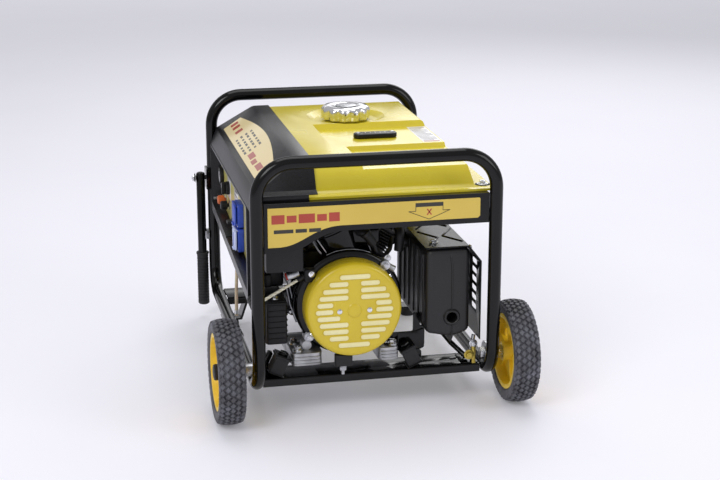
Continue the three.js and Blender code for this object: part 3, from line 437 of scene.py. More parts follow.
def carve(piece, cutter):  # cuts a shape out of a finished piece
    bmesh.ops.recalc_face_normals(cutter, faces=cutter.faces)
    bmesh.ops.scale(cutter, vec=(mm, mm, mm), verts=cutter.verts)
    mesh = bpy.data.meshes.new("cutter")
    cutter.to_mesh(mesh)
    cutter.free()
    tool = bpy.data.objects.new("cutter", mesh)
    bpy.context.scene.collection.objects.link(tool)
    cut = piece.modifiers.new("cut", "BOOLEAN")
    cut.operation = "DIFFERENCE"
    cut.object = tool
    cut.solver = "EXACT"
    bpy.context.view_layer.update()
    seen = piece.evaluated_get(bpy.context.evaluated_depsgraph_get())
    made = bpy.data.meshes.new_from_object(seen)
    piece.modifiers.clear()
    piece.data = made
    bpy.data.objects.remove(tool)


def cadShape(node, flatDegrees=4.0):
    # a merged copy of a CAD node's mesh in millimetres, with its flat faces made whole
    bm = bmesh.new()
    bm.from_mesh(frame["nodes"][node].data)
    bmesh.ops.scale(bm, vec=(1 / mm, 1 / mm, 1 / mm), verts=bm.verts)
    bmesh.ops.remove_doubles(bm, verts=bm.verts, dist=1e-3)
    bmesh.ops.dissolve_limit(bm, angle_limit=math.radians(flatDegrees), verts=bm.verts, edges=bm.edges)
    return bm


def refined(node, body, material, width=1.0, segments=2, name=None):
    # a CAD node's shape with its sharp edges rolled over
    bm = cadShape(node)
    sharp = [e for e in bm.edges if e.is_manifold and e.calc_face_angle(0) > math.radians(28)]
    bevelEdges(bm, sharp, width, segments)
    makePiece(bm, name or node + "Shape", body, material, [node], 23, recalc=False)


# camera, floor and studio lights
lowCorner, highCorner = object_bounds()
# the camera's place in metres and its turns in degrees
cameraSettings = {"place": (-0.6246, -3.0721, 1.1666), "tilt": 73.935, "turn": -12.068, "lens": 80.04}
cameraData = bpy.data.cameras.new("studioCamera")
cameraData.lens = cameraSettings["lens"]
cameraData.sensor_width = 36
camera = bpy.data.objects.new("studioCamera", cameraData)
camera.location = cameraSettings["place"]
camera.rotation_euler = (math.radians(cameraSettings["tilt"]), 0, math.radians(cameraSettings["turn"]))
bpy.context.scene.collection.objects.link(camera)
bpy.context.scene.camera = camera


def makeFloor():
    # a pale seamless sweep: flat underfoot, with a faint mottle so that it isn't one flat colour
    material, tree, shader, place = startMaterial("paleStudioSweep", IOR=1.45, Emission_Strength=0.13)
    mottle = addNode(tree, "TexNoise", {"Vector": place, "Scale": patternScale(400), "Detail": 3.0})
    tint = mixColour(tree, mottle.outputs["Fac"], linear("e6e5ee"), linear("eae9f2"))
    tree.links.new(tint, shader.inputs["Base Color"])
    shader.inputs["Roughness"].default_value = 0.9
    bm = bmesh.new()
    bmesh.ops.create_grid(bm, x_segments=1, y_segments=1, size=9)
    mesh = bpy.data.meshes.new("studioFloor")
    bm.to_mesh(mesh)
    bm.free()
    mesh.materials.append(material)
    floor = bpy.data.objects.new("studioFloor", mesh)
    bpy.context.scene.collection.objects.link(floor)


def addArea(name, place, target, size, watts):
    light = bpy.data.lights.new(name, "AREA")
    light.shape = "RECTANGLE"
    light.size, light.size_y = size
    light.energy = watts
    lamp = bpy.data.objects.new(name, light)
    lamp.location = place
    way = Vector(target) - Vector(place)
    lamp.rotation_euler = way.to_track_quat("-Z", "Y").to_euler()
    bpy.context.scene.collection.objects.link(lamp)


makeFloor()
middleOfAll = (lowCorner + highCorner) / 2
farSweep = Vector((1.6, 6.6, 0))
softboxes = (  # name, place, target, size, watts
    ("keySoftbox", (-2.4, -2.6, 2.9), middleOfAll, (1.8, 1.8), 52),
    ("fillSoftbox", (2.6, -2.2, 1.7), middleOfAll, (1.6, 1.8), 24),
    ("overheadSoftbox", (0, 0.4, 3.2), middleOfAll, (2.2, 2.2), 32),
    ("backSoftbox", (1.6, 3.0, 2.2), middleOfAll, (2.0, 1.6), 24),
    ("farSoftbox", (1.6, 7.2, 2.0), farSweep, (8.0, 1.6), 30),
)
for softbox in softboxes:
    addArea(*softbox)
world = bpy.data.worlds.new("paleStudio")
world.use_nodes = True
world.node_tree.nodes["Background"].inputs["Color"].default_value = linear("f6f6fa")
world.node_tree.nodes["Background"].inputs["Strength"].default_value = 0.5
bpy.context.scene.world = world
bpy.context.scene.view_settings.view_transform = "Standard"
print("camera, floor and lights ready")


# places, in millimetres, worked out from the frame
hoopLow, hoopHigh = nodeBox("near_frame")
farHigh = nodeBox("far_frame")[1]
centreRise = 433  # from the bottom rail's centreline to the top tube's
tubeR = (hoopHigh.z - hoopLow.z - centreRise) / 2
legX = hoopHigh.x - tubeR
nearY = hoopLow.y + tubeR
frameLength = farHigh.y - tubeR - nearY
hoopZ = hoopHigh.z - tubeR
railZ = hoopLow.z + tubeR


def at(x, y, z):  # across, back from the near hoop, up
    return Vector((x, nearY + y, z))


# tube frame
frameSizes = {"topBend": 65, "footBend": 53, "sides": 40, "bendSteps": 14}


def buildHoop(node, y, railEnd):
    corners = [at(-legX, railEnd, railZ), at(-legX, y, railZ), at(-legX, y, hoopZ),
               at(legX, y, hoopZ), at(legX, y, railZ), at(legX, railEnd, railZ)]
    radii = [frameSizes[key] for key in ("footBend", "topBend", "topBend", "footBend")]
    bm = bmesh.new()
    addTube(bm, roundedLine(corners, radii, frameSizes["bendSteps"]), tubeR, frameSizes["sides"])
    makePiece(bm, node + "Tube", "machine", enamelBlack, [node], 40)


buildHoop("near_frame", 0, frameLength / 2 - 0.2)
buildHoop("far_frame", frameLength, frameLength / 2 + 0.2)


def buildRailJoints():
    # short sleeves over the butt joint of each bottom rail, each crimped by two screws
    bm = bmesh.new()
    for sign in (-1, 1):
        x, y = sign * legX, frameLength / 2
        addTurned(bm, [(tubeR - 1, -22), (tubeR + 1.2, -22), (tubeR + 1.8, -20), (tubeR + 1.8, 20),
                       (tubeR + 1.2, 22), (tubeR - 1, 22)], at(x, y, railZ), (0, 1, 0), 40)
    makePiece(bm, "railSleeves", "machine", enamelBlack)
    bm = bmesh.new()
    for sign in (-1, 1):
        for dy in (-11, 11):
            addHexBolt(bm, at(sign * legX, frameLength / 2 + dy, railZ + tubeR + 1), (0, 0, 1), 8, 4)
    makePiece(bm, "railSleeveScrews", "machine", zincBolt)


buildRailJoints()
for node in ("near_channel", "far_channel", "stand"):
    refined(node, "machine", enamelBlack, 1.2, 2)
for node in ("front_panel", "rear_panel"):
    refined(node, "machine", enamelBlack, 0.7, 2)
for side in ("left", "right"):
    refined("foot_" + side, "machine", mountRubber, 0.8, 2)
    refined("axle_" + side, "machine", zincBolt, 0.5, 2)
    refined("handle_bracket_" + side, "machine", enamelBlack, 0.8, 2)
print("frame ready")


# wheels: moulded rims and block-tread tyres
wheelSizes = {"radius": 100, "width": 52, "rim": 74, "blocksRound": 46, "blockHeight": 4.2, "crown": 5.5,
              "ribs": 6}


def crownRadius(x):
    half = wheelSizes["width"] / 2
    return wheelSizes["radius"] - wheelSizes["blockHeight"] - wheelSizes["crown"] * (x / half) ** 2


def addRound(bm, block, centre, shift):
    # repeats a block all round the tyre, turned on by a share of its pitch
    steps = wheelSizes["blocksRound"]
    start = Matrix.Rotation(shift * 2 * math.pi / steps, 3, "X")
    bmesh.ops.rotate(block, cent=centre, matrix=start, verts=block.verts)
    bmesh.ops.spin(block, geom=block.verts[:] + block.edges[:] + block.faces[:], cent=centre, axis=(1, 0, 0),
                   steps=steps - 1, angle=2 * math.pi * (steps - 1) / steps, use_duplicate=True)
    addMesh(bm, block)


def buildTyre(side):
    body = "wheel_" + side
    centre = middle("tyre_" + side)
    half = wheelSizes["width"] / 2
    rim = wheelSizes["rim"]
    bm = bmesh.new()
    crown = [(crownRadius(x), x) for x in [-23 + 46 * i / 10 for i in range(11)]]
    wallIn, wallOut = (rim, -half + 5), (rim, half - 5)
    profile = [wallIn, (rim + 3, -half + 2), (rim + 10, -half + 0.6), (rim + 14, -half + 1.6),
               *crown, (rim + 14, half - 1.6), (rim + 10, half - 0.6), (rim + 3, half - 2), wallOut]
    addTurned(bm, profile, centre, (1, 0, 0), 96)
    for column in range(-2, 3):
        x = column * 9.2
        block = bmesh.new()
        made = bmesh.ops.create_cone(block, cap_ends=True, segments=4, radius1=7.4, radius2=5.6,
                                     depth=wheelSizes["blockHeight"] + 3)["verts"]
        bmesh.ops.scale(block, vec=(0.84, 1.06, 1), verts=made)
        tops = [e for e in block.edges if all(v.co.z > 0 for v in e.verts)]
        bevelEdges(block, tops, 0.7, 1)
        lift = crownRadius(x) + wheelSizes["blockHeight"] / 2 - 1.5
        tilt = Matrix.Rotation(math.atan(2 * wheelSizes["crown"] * x / half ** 2), 3, "Y")
        bmesh.ops.rotate(block, cent=(0, 0, 0), matrix=tilt, verts=block.verts)
        bmesh.ops.translate(block, vec=centre + Vector((x, 0, lift)), verts=block.verts)
        addRound(bm, block, centre, (column % 2) / 2)
    for sign in (-1, 1):  # shoulder lugs that wrap onto the side walls
        lug = bmesh.new()
        addBlock(lug, (sign * (half - 5.4), -5.2, -9), (sign * (half - 0.9), 5.2, 2.4), 0.8, 1)
        bmesh.ops.translate(lug, vec=centre + Vector((0, 0, crownRadius(half))), verts=lug.verts)
        addRound(bm, lug, centre, 0.5)
    makePiece(bm, "tyre" + side.capitalize(), body, dustAndSheenTyreRubber, ["tyre_" + side])


def buildRim(side, sign):
    body = "wheel_" + side
    centre = middle("tyre_" + side)
    bm = cadShape("rim_" + side)
    sharp = [e for e in bm.edges if e.is_manifold and e.calc_face_angle(0) > math.radians(28)]
    bevelEdges(bm, sharp, 1.2, 2)
    ribs = wheelSizes["ribs"]
    for i in range(ribs):  # ribs on both faces of the web, beside its holes
        angle = 2 * math.pi * (i + 0.75) / ribs
        rib = bmesh.new()
        addBlock(rib, (-11, -1.3, 16), (11, 1.3, 67), 0.9, 1)
        bmesh.ops.rotate(rib, cent=(0, 0, 0), matrix=Matrix.Rotation(angle, 3, "X"), verts=rib.verts)
        bmesh.ops.translate(rib, vec=centre, verts=rib.verts)
        addMesh(bm, rib)
    makePiece(bm, "rim" + side.capitalize(), body, rimYellow, ["rim_" + side], recalc=False)
    bm = bmesh.new()
    out = Vector((sign, 0, 0))
    face = nodeBox("rim_" + side)[1 if sign > 0 else 0].x
    hub = Vector((face, centre.y, centre.z))
    addTurned(bm, [(0, 9.6), (10, 9.4), (14, 8.2), (15.5, 6), (15.5, -8), (13.4, -8), (13.4, 5), (0, 6)],
              hub - out * 6, out, 40)
    makePiece(bm, "hubCap" + side.capitalize(), body, plasticBlack)


for side, sign in (("left", -1), ("right", 1)):
    buildTyre(side)
    buildRim(side, sign)
print("wheels ready")


# folding handles
handleSizes = {"radius": 9.5, "gripRadius": 12.5, "ringStep": 6.5}


def buildHandle(side):
    body = "handle_" + side
    low, high = nodeBox("handle_" + side)
    x, y = (low.x + high.x) / 2, (low.y + high.y) / 2
    bm = bmesh.new()
    r = handleSizes["radius"]
    addTurned(bm, [(0, low.z), (r - 1.5, low.z), (r, low.z + 1.5), (r, high.z - 4), (r - 1.2, high.z - 1.2),
                   (r - 4, high.z), (0, high.z)], (x, y, 0), (0, 0, 1), 40)
    makePiece(bm, "handleTube" + side.capitalize(), body, enamelBlack, ["handle_" + side])
    gripLow, gripHigh = nodeBox("grip_" + side)
    g = handleSizes["gripRadius"]
    bottom, top = gripLow.z, gripHigh.z
    profile = [(r - 0.5, bottom - 0.2), (g - 2, bottom), (g, bottom + 2)]
    z = bottom + 10
    while z < top - 12:  # shallow grooves that give the palm a hold
        profile += [(g, z), (g - 1.1, z + 0.8), (g - 1.1, z + 1.8), (g, z + 2.6)]
        z += handleSizes["ringStep"]
    profile += [(g, top - 5), (g + 1.4, top - 4), (g + 1.4, top - 1), (g + 0.6, top), (r - 0.5, top)]
    bm = bmesh.new()
    addTurned(bm, profile, (x, y, 0), (0, 0, 1), 40)
    makePiece(bm, "grip" + side.capitalize(), body, gripRubber, ["grip_" + side])


def buildPivotBolt(side, sign):
    low, high = nodeBox("handle_bracket_" + side)
    out = Vector((sign, 0, 0))
    face = high.x if sign > 0 else low.x
    bm = bmesh.new()
    pivotHeight = 324
    addHexBolt(bm, (face - sign * 3.4, (low.y + high.y) / 2, pivotHeight), out, 13, 6)
    makePiece(bm, "pivotBolt" + side.capitalize(), "machine", zincBolt)
    # spring clip on the leg that holds the handle's free end
    x, y = sign * 246, (low.y + high.y) / 2
    bm = bmesh.new()
    addBlock(bm, (min(sign * 236, sign * 241), y - 7, 184), (max(sign * 236, sign * 241), y + 7, 206), 0.8)
    addBlock(bm, (min(sign * 238, x), y - 12.4, 186), (max(sign * 238, x), y - 10.2, 204), 0.8)
    addBlock(bm, (min(sign * 238, x), y + 10.2, 186), (max(sign * 238, x), y + 12.4, 204), 0.8)
    addBlock(bm, (min(sign * 238, sign * 240), y - 12, 186), (max(sign * 238, sign * 240), y + 12, 204), 0.5)
    makePiece(bm, "handleClip" + side.capitalize(), "machine", zincBolt)


for side, sign in (("left", -1), ("right", 1)):
    buildHandle(side)
    buildPivotBolt(side, sign)
print("handles ready")


# end band's label
def bezier(p0, p1, p2, p3):
    steps = 10
    points = []
    for i in range(1, steps + 1):
        t = i / steps
        points.append(tuple((1 - t) ** 3 * a + 3 * (1 - t) ** 2 * t * b + 3 * (1 - t) * t * t * c + t ** 3 * d
                            for a, b, c, d in zip(p0, p1, p2, p3)))
    return points


labelSizes = {"left": -205, "right": 194, "top": 422, "bottom": 383.5, "deep": 348, "thick": 0.35}


def buildBandLabel():
    s = labelSizes
    outline = [(s["left"], s["top"]), (s["right"] - 2, s["top"]), (s["right"], s["top"] - 2),
               (s["right"], s["bottom"] + 4), (s["right"] - 4, s["bottom"]), (-71, s["bottom"])]
    outline += bezier((-71, s["bottom"]), (-122, 382), (-140, 350), (-182, s["deep"]))
    outline += [(s["left"], s["deep"])]
    front = nodeBox("front_panel")[0].y
    bm = bmesh.new()
    addPlate(bm, outline, "y", front, front - s["thick"], 0.1, 1)
    makePiece(bm, "bandLabel", "machine", goldVinyl)

    face = front - s["thick"]
    bm = bmesh.new()
    # plain red bars stand where a mark was printed
    for x0, x1, z0, z1 in ((-198, -174, 392, 409), (-170, -152, 394, 407), (-148, -118, 392, 409),
                           (-114, -96, 394, 407), (-92, -72, 392, 409)):
        addBlock(bm, (x0, face - 0.2, z0), (x1, face + 0.1, z1), 0.1, 1)
    for sign in (-1, 1):  # small cross in the arrow
        bar = addBlock(bm, (96.4 - 1.1, face - 0.2, 400 - 7), (96.4 + 1.1, face + 0.1, 400 + 7))
        bmesh.ops.rotate(bm, cent=(96.4, face, 400), matrix=Matrix.Rotation(sign * 0.62, 3, "Y"), verts=bar)
    makePiece(bm, "bandMarksRed", "machine", redInk)

    bm = bmesh.new()
    for x0, x1 in ((-194, -158), (-154, -133), (-129, -107)):
        addBlock(bm, (x0, face - 0.2, 374), (x1, face + 0.1, 381), 0.1, 1)
    addBlock(bm, (70, face - 0.2, 410), (123, face + 0.1, 417.6), 0.1, 1)
    arrow = [(70.6, 410), (70.6, 402), (57, 402), (96, 386), (136, 402), (122.4, 402), (122.4, 410)]
    for (x0, z0), (x1, z1) in zip(arrow, arrow[1:]):
        addBar(bm, (x0, face, z0), (x1, face, z1), 0.55, 6)
    makePiece(bm, "bandMarksBlack", "machine", blackInk)


buildBandLabel()


# fuel tank: pressed steel, with rolled edges
def buildTank():
    bm = cadShape("fuel_tank")
    sharp = [e for e in bm.edges if e.is_manifold and e.calc_face_angle(0) > math.radians(16)
             and max(v.co.z for v in e.verts) > 436]
    bevelEdges(bm, sharp, 4.2, 4)
    makePiece(bm, "tankShell", "machine", tankYellow, ["fuel_tank"], 50, recalc=False)
    bm = bmesh.new()
    boltRows = (46, 608, 330)
    for y in boltRows:
        place = at(211, y, 434.8)
        addTurned(bm, [(0, 0.1), (10.5, 0.1), (11, 0.6), (11, 1.6), (10.4, 2.0), (0, 2.0)], place,
                  (0, 0, 1), 32)
        addHexBolt(bm, place + Vector((0, 0, 1.6)), (0, 0, 1), 10, 5)
    makePiece(bm, "tankBolts", "machine", zincBolt)
    bm = bmesh.new()
    for y in boltRows:
        place = at(211, y, 434.4)
        addTurned(bm, [(0, -0.4), (13.5, -0.4), (14.5, 0.2), (14, 0.9), (0, 0.9)], place, (0, 0, 1), 32)
    makePiece(bm, "tankWashers", "machine", mountRubber)


buildTank()


def buildDeckLabel():
    # small printed sheet of plain rules on the tank's near deck
    x0, x1, y0, y1 = 146, 184, 243, 386
    z = nodeBox("fuel_gauge")[0].z - 0.3
    bm = bmesh.new()
    addBlock(bm, at(x0, y0, z - 0.2), at(x1, y1, z + 0.3), 0.1, 1)
    makePiece(bm, "deckLabel", "machine", whiteVinyl)
    bm = bmesh.new()
    for i in range(11):
        y = y0 + 14 + i * 11.5
        addBlock(bm, at(x0 + 3, y, z + 0.2), at(x1 - (3 if i % 3 else 12), y + 3.4, z + 0.45))
    makePiece(bm, "deckLabelLines", "machine", blackInk)
    bm = bmesh.new()
    addBlock(bm, at(x0 + 3, y0 + 3, z + 0.2), at(x1 - 3, y0 + 9, z + 0.45))
    makePiece(bm, "deckLabelBar", "machine", redInk)


buildDeckLabel()


# screw cap, gasket and gauge
capSizes = {"radius": 51, "scallops": 12, "depth": 4.5}


def buildCap():
    low, high = nodeBox("fuel_cap")
    centre = Vector(((low.x + high.x) / 2, (low.y + high.y) / 2, 0))
    r = capSizes["radius"]
    top, bottom = high.z, low.z
    bm = bmesh.new()
    profile = [(0, top - 1.2), (24, top - 1.2), (26, top - 0.4), (r - 14, top), (r - 6, top - 1.2),
               (r - 2.4, top - 3.6), (r - 0.4, top - 7), (r, top - 9), (r, bottom + 1.5), (r - 1, bottom),
               (r - 4, bottom), (r - 5, bottom + 2), (r - 6, top - 9), (0, top - 5)]
    addTurned(bm, profile, centre, (0, 0, 1), 144)
    for vert in bm.verts:  # finger scallops pressed into the skirt and the shoulder
        flat = Vector((vert.co.x - centre.x, vert.co.y - centre.y, 0))
        if flat.length < r - 10:
            continue
        wave = 0.5 + 0.5 * math.cos(math.atan2(flat.y, flat.x) * capSizes["scallops"])
        push = capSizes["depth"] * wave ** 1.6 * min(1, (top - vert.co.z) / 8)
        vert.co -= flat.normalized() * push
    makePiece(bm, "capShell", "cap", chromePlate, ["fuel_cap"], 50)
    bm = bmesh.new()
    addTurned(bm, [(0, top - 1), (20, top - 1), (22, top - 0.2), (21, top + 0.1), (0, top + 0.1)],
              centre, (0, 0, 1), 48)
    makePiece(bm, "capCentre", "cap", zincBolt)


buildCap()
refined("cap_gasket", "cap_lift", mountRubber, 0.4, 1)


def buildGauge():
    low, high = nodeBox("fuel_gauge")
    bm = bmesh.new()
    mid = (low + high) / 2
    half = (high - low) / 2
    addSheet(bm, low.x, high.x, low.y, high.y, "z", low.z, high.z, 12, 8, 2.6, 4)
    makePiece(bm, "gaugeBody", "machine", fasciaPlastic, ["fuel_gauge"])
    bm = bmesh.new()
    addSheet(bm, mid.x - 26, mid.x + 26, mid.y - 7, mid.y + 7, "z", high.z - 1, high.z + 0.5, 5, 5, 0.6, 2)
    makePiece(bm, "gaugeWindow", "machine", blackInk)
    bm = bmesh.new()
    for i in range(5):
        x = mid.x - 20 + i * 10
        longest = 1 if i % 2 else 3.5
        addBlock(bm, (x - 0.5, mid.y - 4.5, high.z + 0.3), (x + 0.5, mid.y + longest, high.z + 0.8))
    makePiece(bm, "gaugeTicks", "machine", whiteVinyl)
    bm = bmesh.new()
    for sign in (-1, 1):
        x = mid.x + sign * (half.x - 9)
        addTurned(bm, [(0, 0), (4.6, 0), (5, 0.6), (3.6, 2.2), (0, 2.6)], (x, mid.y, high.z - 0.2),
                  (0, 0, 1), 24)
    makePiece(bm, "gaugeScrews", "machine", zincBolt)


buildGauge()
print("tank ready")


# moulded cover over the tank's left side, with its label
def buildSideCover():
    refined("tank_side_cover", "machine", fasciaPlastic, 1.4, 2, name="sideCover")
    low, high = nodeBox("tank_side_cover")
    bm = bmesh.new()  # its skirt laps over the tank's flange at the near end
    addBlock(bm, at(-213, 12.2, 429), at(-126, 16, 441), 0.8, 2)
    makePiece(bm, "sideCoverSkirt", "machine", fasciaPlastic)
    # the cover's slope runs up from its lower shoulder to its top edge
    foot = Vector((low.x + 13, 0, 438))
    head = Vector((-legX + 85, 0, high.z))
    along = (head - foot).normalized()
    out = Vector((-along.z, 0, along.x))

    def onSlope(up, y, lift):
        return foot + along * up + out * lift + Vector((0, nearY + y, 0))

    def slopePlate(bm, corners, lift, thick):
        verts = [bm.verts.new(onSlope(up, y, lift)) for up, y in corners]
        face = bm.faces.new(verts)
        made = bmesh.ops.extrude_face_region(bm, geom=[face])["geom"]
        moved = [g for g in made if isinstance(g, bmesh.types.BMVert)]
        bmesh.ops.translate(bm, vec=out * thick, verts=moved)

    bm = bmesh.new()
    lowEdge, y0, y1 = 12, 140, 590
    crest = [(lowEdge + 44 + 24 * math.sin(math.pi * i / 16), y1 - (y1 - y0) * i / 16) for i in range(17)]
    slopePlate(bm, [(lowEdge, y0), (lowEdge, y1), *crest], 0.0, 0.4)
    makePiece(bm, "sideLabel", "machine", creamVinyl)
    bm = bmesh.new()
    for up, y, w, h in ((24, 168, 42, 14), (22, 222, 30, 12), (24, 262, 40, 14)):
        slopePlate(bm, [(up, y), (up, y + w), (up + h, y + w), (up + h, y)], 0.4, 0.2)
    for y in (490, 530, 560):
        slopePlate(bm, [(28, y), (28, y + 18), (46, y + 18), (46, y)], 0.4, 0.2)
    makePiece(bm, "sideLabelRed", "machine", redInk)
    bm = bmesh.new()
    for row in range(4):
        for column in range(6):
            y = 318 + column * 24
            slopePlate(bm, [(20 + row * 12, y), (20 + row * 12, y + 17 - (row + column) % 3 * 3),
                            (25 + row * 12, y + 17 - (row + column) % 3 * 3), (25 + row * 12, y)], 0.4, 0.2)
    makePiece(bm, "sideLabelLines", "machine", blackInk)


buildSideCover()


# recoil starter cover with raised louvres
recoilSizes = {"radius": 92.5, "face": 81.5, "right": 2.5, "down": 3.5, "pitch": 13.3, "louvre": 9.2,
               "proud": 2.2}


def buildRecoil():
    low, high = nodeBox("recoil_cover")
    centre = Vector(((low.x + high.x) / 2 + recoilSizes["right"], 0,
                     (low.z + high.z) / 2 - recoilSizes["down"]))
    front, back = low.y + 2.2, high.y
    r, face = recoilSizes["radius"], recoilSizes["face"]
    rim = [(face, 0), (face + 4, 0.5), (face + 7.5, 2.2), (r - 1.6, 5.8), (r - 0.3, 9.5), (r, 13)]
    outer = [(0, 0), (13, 0), (face - 6, 0), *rim, (r, back - front)]
    inner = [(r - 2.5, back - front), (r - 2.5, 14), (r - 5, 7.5), (face + 3, 3), (0, 3)]
    bm = bmesh.new()
    addTurned(bm, outer + inner, Vector((centre.x, front, centre.z)), (0, 1, 0), 128)
    makePiece(bm, "recoilShell", "machine", coverYellow, ["recoil_cover"], 50)

    pitch, h = recoilSizes["pitch"], recoilSizes["louvre"]
    outerEnd = [74, 71, 67, 60, 48]
    rows = []
    for k in range(-4, 5):
        inward = (-41, 41) if k in (0, 1) else (-27.7, 24) if k == -1 else (-12, 12)
        rows += [(-outerEnd[abs(k)], inward[0], k * pitch), (inward[1], outerEnd[abs(k)], k * pitch)]
    rows += [(-28, 30, 4 * pitch + 13.3), (-31, 29, -4 * pitch - 14)]
    pads = bmesh.new()
    skirt = bmesh.new()
    for x0, x1, z in rows:
        x0, x1, z = centre.x + x0, centre.x + x1, centre.z + z
        addSheet(pads, x0, x1, z - h / 2, z + h / 2, "y", front + 0.5, front - recoilSizes["proud"],
                 h / 2 - 0.3, 6, 1.0, 2)
        addSheet(skirt, x0 - 1.3, x1 + 1.3, z - h / 2 - 1.2, z + h / 2 + 1.2, "y", front + 0.5, front - 0.9,
                 h / 2, 6, 0.8, 2)
    # the louvre pads wear the pale cream enamel, a painted highlight on the same yellow paint as the cover
    makePiece(pads, "recoilLouvres", "machine", louvrePaintedHighlight)
    makePiece(skirt, "recoilLouvreSeats", "machine", coverYellow)
    bm = bmesh.new()
    addTurned(bm, [(0, -2.0), (10, -2.0), (12, -1.6), (13.2, -0.6), (14.4, 0.6), (0, 0.8)],
              (centre.x, front, centre.z), (0, 1, 0), 48)
    makePiece(bm, "recoilBoss", "machine", coverYellow)
    bm = bmesh.new()
    for sign in (-1, 1):
        spot = Vector((centre.x + sign * 28.7, front, centre.z))
        addTurned(bm, [(0, 2.6), (3, 2.4), (4.8, 1.6), (5.2, 0.4), (5.2, -0.4), (0, -0.4)], spot,
                  (0, -1, 0), 24)
    for angle in (35, 145, 215, 325):
        way = spoke(angle)
        spot = Vector((centre.x, back - 4, centre.z)) + way * (r + 0.2)
        addTurned(bm, [(0, 3), (3, 2.8), (4.4, 1.8), (4.4, -1), (0, -1)], spot, way, 20)
    makePiece(bm, "recoilScrews", "machine", chromePlate)


buildRecoil()
print("recoil starter ready")


# blower housing and the cooling shroud that leads up to the cylinder
def cutBelow(bm, z):
    geom = bm.verts[:] + bm.edges[:] + bm.faces[:]
    cut = bmesh.ops.bisect_plane(bm, geom=geom, plane_co=(0, 0, z), plane_no=(0, 0, -1), clear_outer=True)
    rim = [g for g in cut["geom_cut"] if isinstance(g, bmesh.types.BMEdge)]
    bmesh.ops.holes_fill(bm, edges=rim)


engineX, engineZ = middle("recoil_cover").x, middle("recoil_cover").z
blowerSizes = {"radius": 104, "inner": 80.5}


def buildBlower():
    low, high = nodeBox("blower_housing")
    r = blowerSizes["radius"]
    front, back = low.y, high.y
    depth = back - front
    profile = [(blowerSizes["inner"], 0), (r - 8, 0), (r - 4, 1.2), (r - 1.2, 4), (r, 8), (r, depth - 9),
               (r + 0.01, depth - 7), (r, depth), (r - 2.5, depth), (r - 2.5, 9), (r - 6, 3),
               (blowerSizes["inner"], 2.5)]
    bm = bmesh.new()
    addTurned(bm, profile, Vector((engineX, front, engineZ)), (0, 1, 0), 96)
    cutBelow(bm, low.z)
    makePiece(bm, "blowerHousing", "machine", enamelBlack, ["blower_housing"], 50)
    bm = bmesh.new()
    for angle in (20, 160, 200, 100):
        way = spoke(angle)
        spot = Vector((engineX, back - 9, engineZ)) + way * (r - 0.4)
        addHexBolt(bm, spot, way, 8, 4)
    makePiece(bm, "blowerBolts", "machine", zincBolt)


buildBlower()


def leaned(bm):
    # carries a shape built about the crankshaft to its place, and leans it towards the muffler
    centre = Vector((engineX, nearY + cylinderSizes["back"], engineZ))
    bmesh.ops.translate(bm, vec=centre, verts=bm.verts)
    lean = Matrix.Rotation(math.radians(cylinderSizes["lean"]), 3, "Y")
    bmesh.ops.rotate(bm, cent=centre, matrix=lean, verts=bm.verts)


def buildShroud():
    # pressed steel duct that rises from the blower's top as a leaning funnel
    foot, head = at(-40, 112, 292), at(-66, 114, 352)
    rise = (head - foot).length
    bm = bmesh.new()
    addTurned(bm, [(0, 0), (36, 0), (38, 3), (39, 16), (46, rise - 6), (48.5, rise - 3), (48.5, rise),
                   (45, rise + 3), (38, rise + 5), (0, rise + 5)], foot, head - foot, 64)
    addBlock(bm, at(-50, 82, 318), at(24, 146, 352), 8, 4)
    makePiece(bm, "coolingShroud", "machine", enamelBlack)
    bm = bmesh.new()  # baffle behind the fins, between the head and the muffler
    addPlate(bm, [(14, 292), (60, 268), (94, 276), (94, 372), (14, 372)], "y", nearY + 228, nearY + 230)
    makePiece(bm, "headBaffle", "machine", enamelBlack)
    bm = bmesh.new()  # thin bright steel lines along the blower's rim and the duct's edges, painted highlights for the light caught on these rolled black edges
    addTube(bm, [at(engineX + 103.4 * math.cos(a), 68.4, engineZ + 103.4 * math.sin(a))
                 for a in [math.radians(66 + 48 * i / 20) for i in range(21)]], 0.9, 10)
    addTube(bm, [at(-10, 78, 337), at(-2, 78, 322), at(4, 80, 308)], 1.1, 10)
    addTube(bm, [at(-106, 92, 330), at(-96, 90, 312), at(-88, 88, 302)], 1.5, 10)
    addTube(bm, [at(-98, 84, 333), at(-82, 80, 309)], 0.9, 10)
    makePiece(bm, "shroudEdgeHighlights", "machine", steel)


buildShroud()


# finned cylinder, head, spark plug and its lead
cylinderSizes = {"fins": 10, "finPitch": 5.6, "finThick": 1.6, "first": 88, "half": 46,
                 "lean": 32, "back": 192.5}


